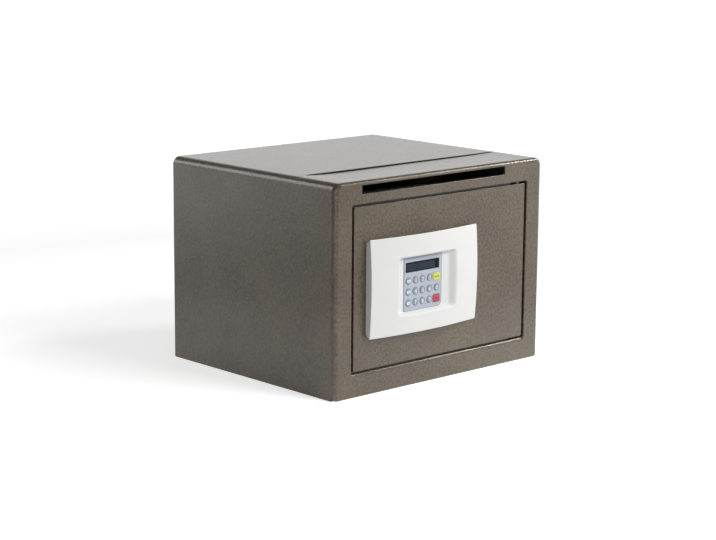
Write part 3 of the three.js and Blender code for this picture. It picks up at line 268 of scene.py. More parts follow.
def linear(code):
    """An sRGB hex value as linear red, green, blue and a full alpha."""
    value = np.array([int(code[i:i + 2], 16) for i in (0, 2, 4)]) / 255
    curve = np.where(value <= 0.04045, value / 12.92, ((value + 0.055) / 1.055) ** 2.4)
    return (*curve, 1.0)


def add_node(tree, kind, inputs, output=None, **settings):
    """One node, whose kind is Blender's name for it without ShaderNode. Each input has a value or
    the socket that feeds it. Gives back the output of that name, or else the first that the
    settings leave in use."""
    node = tree.nodes.new("ShaderNode" + kind)
    for name, value in settings.items():
        setattr(node, name, value)
    for name, value in inputs.items():
        if isinstance(value, bpy.types.NodeSocket):
            tree.links.new(value, node.inputs[name])
        else:
            node.inputs[name].default_value = value
    if output:
        return node.outputs[output]
    return next((socket for socket in node.outputs if socket.enabled), None)


def new_material(name):
    """An empty node material, what adds a node to it, and the object coordinates that its patterns
    read."""
    material = bpy.data.materials.new(name)
    material.use_nodes = True
    tree = material.node_tree
    tree.nodes.clear()
    add = partial(add_node, tree)
    return material, add, add("TexCoord", {}, "Object")


def shaded(material, add, inputs):
    """The material, ended by its shader with these inputs."""
    shader = add("BsdfPrincipled", inputs)
    add("OutputMaterial", {"Surface": shader})
    return material


def toned(material, add, tones, share, relief, inputs):
    """The material with a colour that the share mixes from a dark and a light tone, and with a
    relief of a height, a strength and a depth in millimetres."""
    dark, light = map(linear, tones)
    height, strength, depth = relief
    return shaded(material, add, {
        "Base Color": add("Mix", {0: share, 6: dark, 7: light}, data_type="RGBA"),
        "Normal": add("Bump", {"Height": height, "Strength": strength, "Distance": depth * MM}),
        **inputs,
    })


def per_metre(millimetres):
    """Scale of a pattern whose features are this far apart."""
    return 1 / (millimetres * MM)


def hammered_powder_coat(name, dark, light, grain, depth, roughness):
    """Powder coat with a hammered texture on sheet steel, sprayed and baked. The eye gets small
    soft dimples that break up the gloss, and a slight metallic depth in the taupe. The dimples have
    their real size, and so has the flow texture of the smooth coats."""
    material, add, place = new_material(name)
    dimples = add("TexNoise", {
        "Vector": place, "Scale": per_metre(grain), "Detail": 2.0, "Roughness": 0.55,
    })
    patches = add("TexNoise", {"Vector": place, "Scale": per_metre(60), "Detail": 1.0})
    blended = add("Math", {0: patches, 1: 0.35, 2: dimples}, operation="MULTIPLY_ADD")
    tone = add("MapRange", {"Value": blended, "From Min": 0.45, "From Max": 0.9})
    colour = add("Mix", {0: tone, 6: linear(dark), 7: linear(light)}, data_type="RGBA")
    gloss = add("MapRange", {
        "Value": dimples, "From Min": 0.3, "From Max": 0.7,
        "To Min": roughness - 0.06, "To Max": roughness + 0.06,
    })
    relief = add("Bump", {"Height": dimples, "Strength": 1.0, "Distance": depth * MM})
    return shaded(material, add, {
        "Base Color": colour, "Metallic": 0.15, "Roughness": gloss, "IOR": 1.5, "Normal": relief,
        "Coat Weight": 1.0, "Coat Roughness": 0.25, "Coat Normal": relief,
    })


def grained(name, tones, grain, cloud, gloss, relief, stretch, shader):
    """What moulded and worked surfaces share. Grain and cloud are each the size and the detail of a
    noise. The cloud mixes the two tones. The grain, pulled out by the stretch, varies the roughness
    about its mean by its spread, and is raised with its strength and depth."""
    material, add, place = new_material(name)
    along = add("Mapping", {"Vector": place, "Scale": stretch})
    marks, clouds = (
        add("TexNoise", {"Vector": vector, "Scale": per_metre(size), "Detail": detail})
        for vector, (size, detail) in ((along, grain), (place, cloud))
    )
    mean, spread = gloss
    rough = add("MapRange", {
        "Value": marks, "From Min": 0.3, "From Max": 0.7,
        "To Min": mean - spread, "To Max": mean + spread,
    })
    return toned(material, add, tones, clouds, (marks, *relief), {"Roughness": rough, **shader})


def moulded_plastic(name, dark, light, roughness, grain, depth, coat=0.0):
    """Injection-moulded ABS. The tool's spark-eroded face leaves an even fine grain, so that the
    gloss is satin; the colour is through and through, with hardly any cloud in it. The real grain,
    about 0.05 mm, is too fine to show, so it is drawn coarser."""
    return grained(
        name, (dark, light), (grain, 3.0), (35, 1.0), (roughness, 0.04), (0.6, depth), (1, 1, 1),
        {"IOR": 1.54, "Coat Weight": coat, "Coat Roughness": 0.1},
    )


def plated_metal(name, dark, light, roughness, grain, depth, stretch=(1, 1, 1)):
    """Metal with a thin plating, or bare and turned. The grain follows how it was worked: stretch
    pulls it out along the strokes, and the tone clouds a little where the plating varies. Real
    strokes, about 0.05 mm wide, are too fine to show, so they are drawn coarser."""
    return grained(
        name, (dark, light), (grain, 4.0), (12, 2.0), (roughness, 0.07), (0.5, depth), stretch,
        {"Metallic": 1.0},
    )


def needle_felt(name, dark, light):
    """Needle-punched polyester felt. Short fibres lie both ways, so the mat is dull and speckled,
    with a faint pale sheen at a low angle. Single fibres, about 0.03 mm thick, are too fine to
    show, so they are drawn as strands of 0.5 mm."""
    material, add, place = new_material(name)
    ways = []
    for stretch in ((1, 0.12, 1), (0.12, 1, 1)):
        laid = add("Mapping", {"Vector": place, "Scale": stretch})
        ways.append(add("TexNoise", {"Vector": laid, "Scale": per_metre(0.5), "Detail": 3.0}))
    fibres = add("Math", {0: ways[0], 1: ways[1]}, operation="MAXIMUM")
    tone = add("MapRange", {"Value": fibres, "From Min": 0.45, "From Max": 0.75})
    return toned(material, add, (dark, light), tone, (fibres, 1.0, 0.4), {
        "Roughness": 0.95, "Sheen Weight": 0.25, "Sheen Roughness": 0.5,
    })


def printed_film(name, dark, light, roughness):
    """Polyester film printed from behind, with a fine matt texture rolled into its face. The colour
    is even, and only a soft broad shine shows. The silicone, the inks and the near-black bead of
    painted shade in the seam groove are as even and matt. The real texture, about 0.03 mm, is too
    fine to show, so it is drawn at 0.35 mm."""
    material, add, place = new_material(name)
    rolled = add("TexNoise", {"Vector": place, "Scale": per_metre(0.35), "Detail": 2.0})
    return toned(material, add, (dark, light), rolled, (rolled, 0.5, 0.015), {
        "Roughness": roughness, "IOR": 1.57,
    })


def smoked_acrylic(name, dark, light):
    """Cast acrylic tinted nearly black over the display's glass. It is flat and smooth, an
    anti-glare coat takes most of its gloss, and what lies under it shows as a slightly paler field
    with faint upright lines."""
    material, add, place = new_material(name)
    upright = add("Mapping", {"Vector": place, "Scale": (1, 1, 0.05)})
    lines = add("TexNoise", {"Vector": upright, "Scale": per_metre(3), "Detail": 2.0})
    colour = add("Mix", {0: lines, 6: linear(dark), 7: linear(light)}, data_type="RGBA")
    return shaded(material, add, {
        "Base Color": colour, "Roughness": 0.12, "IOR": 1.49, "Specular IOR Level": 0.15,
    })


def solder_mask(name):
    """Glass-epoxy board under green solder mask, screen printed. Copper tracks under the mask show
    as paler lines on a 2.54 mm raster."""
    material, add, place = new_material(name)
    turned = add("Mapping", {"Vector": place, "Rotation": (QUARTER, 0, 0)})
    tracks = add("TexBrick", {
        "Vector": turned, "Scale": per_metre(2.54), "Mortar Size": 0.08, "Brick Width": 5.0,
        "Row Height": 1.0, "Color1": linear("2B6440"), "Color2": linear("2F6B45"),
        "Mortar": linear("4E8A5C"),
    }, "Color")
    return shaded(material, add, {
        "Base Color": tracks, "Roughness": 0.35, "Coat Weight": 0.3, "Coat Roughness": 0.15,
    })


coat_outside = hammered_powder_coat(
    "taupe hammered powder coat", "43392B", "675B49", 3.2, 0.22, 0.38,
)
# The seam's groove gets a near-black bead as painted shade, so that it shows as a dark line.
seam_shade_bead = printed_film("near-black bead, painted shade in the seam groove", "0A0A0B", "101011", 0.6)
# The chute is coated near-black as painted shade, so that its lit floor shows as dark as the slot.
slot_shade_black_coat = hammered_powder_coat("black powder coat", "0C0C0D", "121213", 1.2, 0.02, 0.5)
coat_inside = hammered_powder_coat("taupe powder coat inside", "635A50", "6E655B", 1.2, 0.02, 0.5)
# The door stops are coated near-black as painted shade, so that the gap round the door shows dark.
stop_shade_coat = hammered_powder_coat(
    "near-black coat on the door stops, painted shade", "1D1A17", "24201C", 1.2, 0.02, 0.6,
)
zinc = plated_metal("bright zinc plate", "B4B8BC", "CDD0D4", 0.32, 0.5, 0.005, (1, 1, 0.2))
nickel = plated_metal(
    "nickel-plated turned steel", "B2B3B4", "C6C7C7", 0.26, 0.5, 0.003, (0.1, 1, 1),
)
brass = plated_metal("turned brass", "B8924C", "CDA962", 0.3, 0.3, 0.008, (1, 1, 8))
# The bushes are bearing bronze, its brown made darker still as painted shade, so that no glint
# shows in the gap round the door.
bronze = plated_metal(
    "sintered bearing bronze, soaked in oil", "3A2E1E", "463826", 0.55, 0.25, 0.01,
)
felt = needle_felt("grey needle felt", "1F2124", "44474B")
white_abs = moulded_plastic("satin white ABS, moulded", "DBDBDA", "E1E1E0", 0.36, 0.35, 0.006)
black_abs = moulded_plastic("textured black ABS, moulded", "1D1F21", "26282A", 0.5, 0.5, 0.03)
grey_abs = moulded_plastic("grey ABS, moulded", "84888D", "92969A", 0.48, 0.5, 0.02)
label_film = printed_film("blue-grey printed polyester film", "ABB3BD", "B3BBC5", 0.46)
edge_band_film = printed_film("darker band round the label's edge", "8C94A0", "949CA8", 0.46)
blue_silicone = printed_film("blue-grey silicone", "868F9D", "9099A6", 0.55)
yellow_silicone = printed_film("yellow silicone", "C8CD62", "D0D56C", 0.55)
red_silicone = printed_film("red silicone", "AA4A58", "B25462", 0.55)
white_ink = printed_film("white screen ink", "CDD3DB", "D5DBE2", 0.5)
olive_ink = printed_film("olive screen ink", "8E9238", "989C42", 0.5)
crimson_ink = printed_film("crimson screen ink", "8C2A3C", "962F42", 0.5)
window_black = smoked_acrylic("smoked acrylic", "14161A", "1C1F24")
window_field = smoked_acrylic("display under smoked acrylic", "29303A", "363E49")
board_green = solder_mask("green solder mask")
cell_film = moulded_plastic("dark blue shrink film", "1F3F7E", "284B8C", 0.25, 4, 0.02, 0.4)
cell_band = moulded_plastic("silver shrink film", "A9ACB2", "B6B9BE", 0.25, 4, 0.02, 0.4)


# Cabinet

# Places along Y of the face and its back, the seam of the top and the rear; half the width, the
# height, the bend of the side sheets and the sheet's thickness
FACE, FACE_BACK, SEAM, REAR = -150.0, -144.0, -75.0, 150.0
SIDE, TOP, BEND, SHEET = 175.0, 255.0, 10.0, 2.0
BETWEEN_BENDS = SIDE - BEND
FACE_SHEET = 2.5
SEAM_LIP, SEAM_BEND = 10, 3
# Left, right, lower and upper edge of each hole in the face, and the groove's ends
OPENING = (-148.0, 148.0, 28.5, 228.3)
SLOT = (-132.4, 107.4, 239.6, 250.0)
GROOVE = (-152.0, 165.0)
# The leaf's upper edge, which leaves the gap over the door that the photograph shows
LEAF_TOP = span("door_plate")[5] - 1.1
ANCHOR_RADIUS = 6
WALL_ANCHORS = ((-75, 180), (75, 180))
FLOOR_ANCHORS = ((-110, 20), (110, 20))
PIVOT = (137.5, -142.5)


def face_level(edges, insets, depths, corners, steps=10):
    """One level of the face's rolled edge, as points across Y. The sides, the top and the bottom
    have insets and depths of their own; along a corner the depth turns from one side's to the next
    by the square of the sine of the share of the corner passed."""
    x0, x1 = edges[0] + insets[0], edges[1] - insets[0]
    z0, z1 = edges[2] + insets[2], edges[3] - insets[1]
    side, upper, lower = depths
    share = np.linspace(0, 1, steps + 1)
    turn = np.sin(share * QUARTER) ** 2
    rows = []
    for x, z, way_x, way_z, quarter, radius, start, end in (
        (x1, z0, 1, -1, -1, corners[1], lower, side),
        (x1, z1, 1, 1, 0, corners[0], side, upper),
        (x0, z1, -1, 1, 1, corners[0], upper, side),
        (x0, z0, -1, -1, 2, corners[1], side, lower),
    ):
        angle = (quarter + share) * QUARTER
        rows.append(placed(
            x - way_x * radius + radius * np.cos(angle),
            z - way_z * radius + radius * np.sin(angle),
            start + (end - start) * turn, "xzy",
        ))
    return np.concatenate(rows)


def rolled_levels(edges, rounds, corners, start, end, steps=8):
    """The face's edge from its flat to its end: each inset is the side's radius times (1 - sine),
    and each depth the start plus its (1 - cosine). Rounds are for the sides, the top and the
    bottom."""
    rounds = np.array(rounds, float)
    rows = []
    for angle in np.linspace(0, QUARTER, steps + 1):
        insets = rounds * (1 - math.sin(angle))
        depths = start + rounds * (1 - math.cos(angle))
        sharper = [max(corner - insets[:2].mean(), corner / 3) for corner in corners]
        rows.append(face_level(edges, insets, depths, sharper))
    rows.append(face_level(edges, (0, 0, 0), (end, end, end), corners))
    return np.stack(rows)


def folded_sheet(start, fold, lip, bend):
    """Section in Y and Z of a level sheet that is folded down at its end: level, a quarter turn of
    the bend's radius, and a straight lip, all one sheet thick."""
    way = math.copysign(1, fold - start)
    points = [
        (start, TOP), (fold, TOP), (fold, TOP - lip), (fold - way * SHEET, TOP - lip),
        (fold - way * SHEET, TOP - SHEET), (start, TOP - SHEET),
    ]
    return filleted(points, (0, bend, 0.4, 0.4, bend - SHEET, 0), 8)


def build_face():
    """The face with its opening, returns and slot, and the top's strip in front of the seam."""
    piece = Piece()
    edges = (-SIDE, SIDE, 0, TOP)
    under = (-SIDE + FACE_SHEET, SIDE - FACE_SHEET, FACE_SHEET, TOP - FACE_SHEET)
    outer = rolled_levels(edges, (6, 5, 1.5), (BEND, 6), FACE, FACE_BACK)
    inner = rolled_levels(
        under, (3.5, 2.5, 0.2), (BEND - FACE_SHEET, 4.5), FACE + FACE_SHEET, FACE_BACK,
    )
    piece.grid(np.concatenate([outer, inner[::-1]]))

    # The opening's edge is rolled in, widest along the sill, and its return ends in a rounded lip
    flare = np.array([1.0, 0.8, 4.2])
    opening = []
    for angle in np.linspace(0, QUARTER, 7):
        widening = flare * (1 - math.sin(angle))
        corners = (3 + widening[:2].mean(), 3 + widening[[0, 2]].mean())
        depths = FACE + flare * (1 - math.cos(angle))
        opening.append(face_level(OPENING, -widening, depths, corners))
    lip = [(0, -132.5), (0.15, -132.15), (0.5, -132), (2.5, -132), (2.85, -132.15), (3, -132.5)]
    for out, depth in lip + [(3, FACE + FACE_SHEET)]:
        opening.append(face_level(OPENING, (-out,) * 3, (depth,) * 3, (3 + out,) * 2))
    piece.grid(np.stack(opening))
    slot = rectangle(*SLOT, 1)
    slot_levels = edge_levels(FACE, FACE + FACE_SHEET, 0.9, 0.3)
    piece.skin(slot, slot_levels, side=-1)
    for row, ring in ((0, outer[0]), (-1, inner[0])):
        loops = [ring[:, [0, 2]], opening[row][:, [0, 2]], slot(-slot_levels[row][0])]
        piece.fill(loops, ring[0, 1])

    # Towards its fold the strip sags, where the press draws it down
    section = folded_sheet(FACE_BACK, SEAM, SEAM_LIP, SEAM_BEND)
    x = np.linspace(-BETWEEN_BENDS, BETWEEN_BENDS, 81)[:, None]
    reach = np.clip((section[:, 0] - FACE_BACK) / (SEAM - FACE_BACK), 0, 1)
    piece.grid(placed(x, section[:, 0], section[:, 1] - strip_sag(x) * reach ** 2, "xyz"))
    for end in (-BETWEEN_BENDS, BETWEEN_BENDS):
        piece.fill([section], end, "yzx")
    piece.finish("face_sheet", "cabinet", "front_frame", "cabinet_paint", coat_outside)


def strip_sag(x):
    """How far the strip's fold lies below the top. The sag falls from left to right as a straight
    line of the share of the groove's length, and comes to nothing at the groove's ends as one less
    the share's eighth power."""
    share = np.clip((2 * x - GROOVE[0] - GROOVE[1]) / (GROOVE[1] - GROOVE[0]), -1, 1)
    middle, fall = 1.35, 0.4
    return (middle - fall * share) * (1 - share ** 8)


def build_casing():
    """Two side sheets with their bends, and the top sheet behind the seam with its fold."""
    piece = Piece()
    rear = REAR - SHEET
    for way in (-1, 1):
        section = filleted(
            [(way * SIDE, 0), (way * SIDE, TOP), (way * BETWEEN_BENDS, TOP),
             (way * BETWEEN_BENDS, TOP - SHEET), (way * (SIDE - SHEET), TOP - SHEET),
             (way * (SIDE - SHEET), 0)],
            (0.3, BEND - 1e-3, 0, 0, BEND - SHEET - 1e-3, 0.3), 10,
        )
        piece.plate(fixed(section), FACE_BACK, rear, 0, 0)
    section = folded_sheet(rear, SEAM, SEAM_LIP, SEAM_BEND)
    piece.plate(fixed(section), -BETWEEN_BENDS, BETWEEN_BENDS, 0, 0, axes="yzx")

    # A near-black bead lies in the groove between the two folds as painted shade, and follows the
    # strip's sag. Left of the groove the folds are filled level and painted over
    across = np.array([2.2, 1.2, -0.4, -1.9, -1.9, 2.2])
    for start, end, columns, below, coat in (
        (-BETWEEN_BENDS, GROOVE[0], 5, (0.02, 0.02, 0.02, 0.02, 4, 4), 0),
        (GROOVE[0], BETWEEN_BENDS, 77, (0.2, 0.22, 0.3, 0.3, 4, 4), 1),
    ):
        x = np.linspace(start, end, columns)[:, None]
        follows = np.array([0, 0.1, 0.75, 1, 1, 1])
        bead = placed(x, SEAM + across, TOP - np.array(below) - follows * strip_sag(x), "xyz")
        piece.grid(bead, finish=coat)
        for row in (bead[0], bead[-1]):
            piece.fill([row[:, 1:]], row[0, 0], "yzx", coat)
    piece.finish("casing_sheets", "cabinet", "casing_wrap", "cabinet_paint", coat_outside, seam_shade_bead)


def build_cabinet_plates():
    """Rear and base sheets with their anchor holes, the door stops and the mat."""
    piece = Piece()
    outline = rectangle(-SIDE, SIDE, 0, TOP, (1.2, BEND, BEND, 1.2), 10)
    holes = [circle(x, z, ANCHOR_RADIUS) for x, z in WALL_ANCHORS]
    piece.plate(outline, REAR, REAR - SHEET, 1.5, 0, holes)
    piece.finish("rear_sheet", "cabinet", "back_panel", "cabinet_paint", coat_outside)

    piece = Piece()
    x0, x1, y0, y1, z0, z1 = span("base_panel")
    holes = [circle(x, y, ANCHOR_RADIUS) for x, y in FLOOR_ANCHORS]
    piece.plate(rectangle(x0, x1, y0, y1, 0.1, 1), z0, z1, 0.1, 0.1, holes, "xyz")
    piece.finish("base_sheet", "cabinet", "base_panel", "cabinet_paint", coat_outside)

    for name in ("upper", "lower"):
        piece = Piece()
        x0, x1, y0, y1, z0, z1 = span(f"door_stop_{name}")
        piece.plate(rectangle(x0, x1, z0, z1, 1.5), y0, y1, 0.5, 0.5)
        piece.finish(f"stop_strip_{name}", "cabinet", f"door_stop_{name}", "inner_paint", stop_shade_coat)

    piece = Piece()
    x0, x1, y0, y1, z0, z1 = span("floor_mat")
    holes = [circle(x, y, 2 * ANCHOR_RADIUS, 64) for x, y in FLOOR_ANCHORS]
    piece.plate(rectangle(x0, x1, y0, y1, 4), z1, z0, 1, 0.3, holes, "xyz")
    piece.finish("felt_mat", "cabinet", "floor_mat", "mat_felt", felt)


def build_slot_parts():
    """The chute is a sheet folded at its lip and its hem, between two cheeks; the toothed plate has
    teeth of one pitch along its lower edge."""
    x0, x1, start, end, low, high = span("deposit_chute")
    thick, drop, hem = 1.2, 13, 6.8
    entry = SLOT[2]
    slope = drop / (end - start)
    floor = filleted(
        [(start, entry), (start, entry - hem), (start + thick, entry - hem),
         (start + thick, entry - thick - slope * thick),
         (end - thick, entry - drop - thick + slope * thick),
         (end - thick, low), (end, low), (end, entry - drop)],
        (1.4, 0.3, 0.3, 0.4, 0.4, 0.3, 0.3, 1.4), 5,
    )
    cheek = filleted(
        [(start, entry - thick), (end, entry - drop - thick), (end, entry - drop + 4.5),
         (end - 26.7, high), (start, high)],
        (0.2, 0.2, 2, 4, 0.2), 5,
    )
    piece = Piece()
    piece.plate(fixed(floor), x0, x1, 0, 0, axes="yzx")
    for near in (x0, x1 - thick):
        piece.plate(polygon(cheek), near, near + thick, 0.2, 0.2, axes="yzx")
    piece.finish("chute_sheet", "cabinet", "deposit_chute", "chute_paint", slot_shade_black_coat)

    x0, x1, y0, y1, z0, z1 = span("anti_fishing_comb")
    teeth, depth = 24, 6
    edge = np.linspace(x0, x1, 2 * teeth + 1)
    lower = np.stack([edge, np.where(np.arange(2 * teeth + 1) % 2, z0 + 0.3, z0 + depth)], 1)
    corners = np.concatenate([lower, [(x1, z1), (x0, z1)]])
    piece = Piece()
    piece.plate(polygon(filleted(corners, 0.5, 3)), y0, y1, 0.15, 0.15)
    piece.finish("toothed_plate", "cabinet", "anti_fishing_comb", "zinc_plate", zinc)


def build_pivots():
    """Bush, headed pin and block of each concealed hinge, turned about one upright axis. The upper
    block ends with the leaf's upper edge, so that the gap over the door doesn't show it."""
    x, y = PIVOT
    bore, pin, pin_head, bush, collar = 2.56, 2.5, 3.2, 4, 4.5
    for name, way in (("upper", 1), ("lower", -1)):
        x0, x1, y0, y1, z0, z1 = span(f"hinge_block_{name}")
        piece = Piece()
        hole = circle(x, y, bore, 32)
        piece.plate(rectangle(x0, x1, y0, y1, 0.8), z0, min(z1, LEAF_TOP), 0.6, 0.6, [hole], "xyz")
        piece.finish(f"pivot_block_{name}", "door", f"hinge_block_{name}", "zinc_plate", zinc)

        start, end = span(f"hinge_pin_{name}")[4:][::way]
        piece = Piece()
        piece.turned(
            [(0, start), (2.6, start), (3.05, start + way * 0.15), (pin_head, start + way * 0.5),
             (pin_head, start + way * 1.5), (pin, start + way * 1.5), (pin, end - way * 1.1),
             (2.2, end - way * 0.4), (1.7, end), (0, end)], x, y, "xyz", 40,
        )
        piece.finish(f"pivot_pin_{name}", "door", f"hinge_pin_{name}", "bolt_steel", nickel)

        start, end = span(f"hinge_bush_{name}")[4:][::way]
        piece = Piece()
        piece.turned(
            [(bore, start + way * 0.3), (bore + 0.3, start), (4.2, start),
             (collar, start + way * 0.3), (collar, start + way * 1.6), (bush, start + way * 1.6),
             (bush, end - way * 0.4), (3.6, end), (bore, end)], x, y, "xyz", 40, closed=True,
        )
        piece.finish(f"pivot_bush_{name}", "cabinet", f"hinge_bush_{name}", "brass", bronze)


# Door

# Place of the bolts' axes along Y
BOLT_Y = -123.0


def build_leaf():
    """The leaf with the ribbon's hole, and the tray behind it: one closed section, wall and flange,
    carried round a rectangle."""
    piece = Piece()
    x0, x1, y0, y1, z0, z1 = span("door_plate")
    ribbon_hole = rectangle(-13, -6, 143.8, 157.8, 3)
    piece.plate(rectangle(x0, x1, z0, LEAF_TOP, 2, 8), y0, y1, 0.6, 0.3, [ribbon_hole])
    piece.finish("leaf_sheet", "door", "door_plate", "door_paint", coat_outside)

    piece = Piece()
    x0, x1, y0, y1, z0, z1 = span("door_tray")
    wall, flange, flange_sheet, corner, bolt_hole = 1.5, 12.0, 1.2, 2.5, 7.1
    section = filleted(
        [(0, y0), (0, y1), (flange, y1), (flange, y1 - flange_sheet),
         (wall, y1 - flange_sheet), (wall, y0)],
        (0.2, 1.4, 0.3, 0.3, 0.3, 0.2), 4,
    )
    piece.skin(rectangle(x0, x1, z0, z1, corner, 8), section, closed=True)
    # The two flat sides of its left wall are laid again, with the bolts' holes in them
    holes = []
    for bolt in ("bolt_upper", "bolt_lower"):
        holes.append(circle(BOLT_Y, box_centre(bolt)[2], bolt_hole))
        piece.skin(holes[-1], [(0, x0), (0, x0 + wall)], "yzx")
    low, high = z0 + corner, z1 - corner
    for x, front, back in ((x0, y0 + 0.2, y1 - 1.4), (x0 + wall, y0 + 0.2, y1 - 1.5)):
        piece.leave_out(x)
        flat = np.array([(front, low), (back, low), (back, high), (front, high)])
        piece.fill([flat] + [hole(0) for hole in holes], x, "yzx")
    piece.finish("tray_frame", "door", "door_tray", "inner_paint", coat_inside)


def build_inner_cover():
    """The cover sheet with the hatch over the cells, two rails with lips for the battery lid, and
    four round-headed screws."""
    x0, x1, y0, _, z0, z1 = span("door_inner_cover")
    sheet = y0 + 1.2
    cell_x, cell_z, half_wide, half_tall = 88.0, 92.8, 25.75, 30.3
    rail_start, rail_end = -5.75, 121.75
    hatch = rectangle(
        cell_x - half_wide, cell_x + half_wide, cell_z - half_tall, cell_z + half_tall, 1.5,
    )
    piece = Piece()
    piece.plate(rectangle(x0, x1, z0, z1, 2), sheet, y0, 0.4, 0.2, [hatch])
    for way in (-1, 1):
        wall, outer, lip = (cell_z + way * off for off in (36.6, 38.8, 34.8))
        section = filleted(
            [(sheet - 0.6, wall), (sheet + 2.2, wall), (sheet + 2.2, lip), (sheet + 3.8, lip),
             (sheet + 3.8, outer), (sheet - 0.6, outer)],
            (0, 0.3, 0.4, 0.5, 0.8, 0), 4,
        )
        piece.plate(fixed(section), rail_start, rail_end, 0, 0, axes="yzx")
    piece.finish("inner_cover_sheet", "door", "door_inner_cover", "inner_paint", coat_inside)

    for number in range(1, 5):
        build_screw(number)


def build_screw(number):
    """A pan head with a cross recess, on its shank. The head is a height over radius and angle: a
    crown of 2.4 mm times a flattened arc of the radius, less a cross of two grooves that get
    shallower outwards."""
    node = f"cover_screw_{number}"
    x, _, z = box_centre(node)
    y0, y1 = span(node)[2:4]
    crown_height, reach = 2.4, 4.0
    under = y1 - crown_height
    radius = np.linspace(0, 1, 25)[:, None] ** 0.8 * reach
    angle = np.arange(96) * 2 * math.pi / 96
    crown = crown_height * (1 - (radius / reach) ** 4) ** 0.5
    across, upward = abs(radius * np.cos(angle)), abs(radius * np.sin(angle))
    half_width, flank, arm, run_out, recess = 0.62, 0.25, 2.4, 1.2, 1.3
    groove = np.clip((half_width - np.minimum(across, upward)) / flank, 0, 1)
    shallow = np.clip((arm - np.maximum(across, upward)) / run_out, 0, 1)
    height = crown - recess * groove * shallow
    piece = Piece()
    across, upward = x + radius * np.cos(angle), z + radius * np.sin(angle)
    piece.grid(placed(across, upward, under + height, "xzy"))
    shank = [(reach, under), (2, under), (2, y0 + 0.6), (1.4, y0), (0, y0)]
    piece.turned(shank, x, z, "xzy", 96)
    piece.finish(f"cross_screw_{number}", "door", node, "zinc_plate", zinc)


def build_battery_parts():
    """The sliding lid with its grip ribs and a plain arrow, and the four cells."""
    x0, x1, y0, y1, z0, z1 = span("battery_lid")
    face = y1 - 1
    middle = box_centre("battery_lid")[2]
    piece = Piece()
    piece.plate(rectangle(x0, x1, z0, z1, 1.5), face, y0, 0.4, 0.2)
    for rib in range(5):
        x = x1 - 8 - 3 * rib
        section = filleted(
            [(x - 1, face - 0.4), (x + 1, face - 0.4), (x + 1, face), (x, y1), (x - 1, face)],
            (0, 0, 0.3, 0.35, 0.3), 3,
        )
        piece.plate(polygon(section), middle - 15, middle + 15, 0.1, 0.1, axes="xyz")
    arrow = filleted([(x0 + 9, middle), (x0 + 17, middle - 6), (x0 + 17, middle + 6)], 0.8, 4)
    piece.plate(polygon(arrow), face + 0.5, face - 0.3, 0.2, 0)
    piece.finish("sliding_lid", "battery_lid", "battery_lid", "black_plastic", black_abs)

    for number in range(1, 5):
        node = f"battery_cell_{number}"
        x0, x1, _, _, z0, z1 = span(node)
        _, y, z = box_centre(node)
        way = -1 if number % 2 else 1
        flat, tip = (x0, x1)[::way]
        radius = (z1 - z0) / 2
        pole, contact, seal = 2.7, 5.4, 4.4
        shoulder = tip - way
        band = shoulder - way * 12
        piece = Piece()
        for coat, profile in (
            (2, [(0, flat), (contact, flat)]),
            (0, [(contact, flat), (radius - 0.5, flat), (radius - 0.1, flat + way * 0.1),
                 (radius, flat + way * 0.5), (radius, band)]),
            (1, [(radius, band), (radius, shoulder - way * 0.5),
                 (radius - 0.1, shoulder - way * 0.1), (radius - 0.5, shoulder), (seal, shoulder)]),
            (2, [(seal, shoulder), (pole, shoulder), (pole, tip - way * 0.2), (2.4, tip),
                 (0, tip)]),
        ):
            piece.turned(profile, y, z, "yzx", finish=coat)
        piece.finish(f"film_cell_{number}", "door", node, "cell_wrap", cell_film, cell_band, nickel)


def build_bolts():
    """Round bolts with a chamfered tip, a neck through the carriage and a riveted head."""
    for name in ("upper", "lower"):
        tip, end = span(f"bolt_{name}")[:2]
        z = box_centre(f"bolt_{name}")[2]
        radius, neck, flange = 7, 3.5, end - 3.5
        piece = Piece()
        piece.turned(
            [(0, tip), (5.2, tip), (5.5, tip + 0.05), (6.85, tip + 1.35), (radius, tip + 1.7),
             (radius, flange - 0.3), (6.7, flange), (neck, flange), (neck, flange + 2),
             (5, flange + 2), (4.6, end - 0.4), (3.6, end), (0, end)], BOLT_Y, z, "yzx", 64,
        )
        piece.finish(f"round_bolt_{name}", "bolt_work", f"bolt_{name}", "bolt_steel", nickel)


# Lock

# Left, right, lower and upper edge of the cover and of its pocket, and the place of the pocket's
# floor along Y
COVER = (-126.0, 51.0, 68.3, 186.0)
POCKET = (-85.0, 4.0, 92.0, 160.0)
FLOOR = -158.0


def cover_front(x, z):
    """Depth of the lock cover's front. It stands 7 mm off the leaf at the corners, and rises by
    7.5 mm times one less the square of the place across and by 3 mm times one less the square of
    the place up, each place running from -1 to 1."""
    across = (2 * x - COVER[0] - COVER[1]) / (COVER[1] - COVER[0])
    upward = (2 * z - COVER[2] - COVER[3]) / (COVER[3] - COVER[2])
    return FACE - 7 - 7.5 * (1 - across ** 2) - 3 * (1 - upward ** 2)


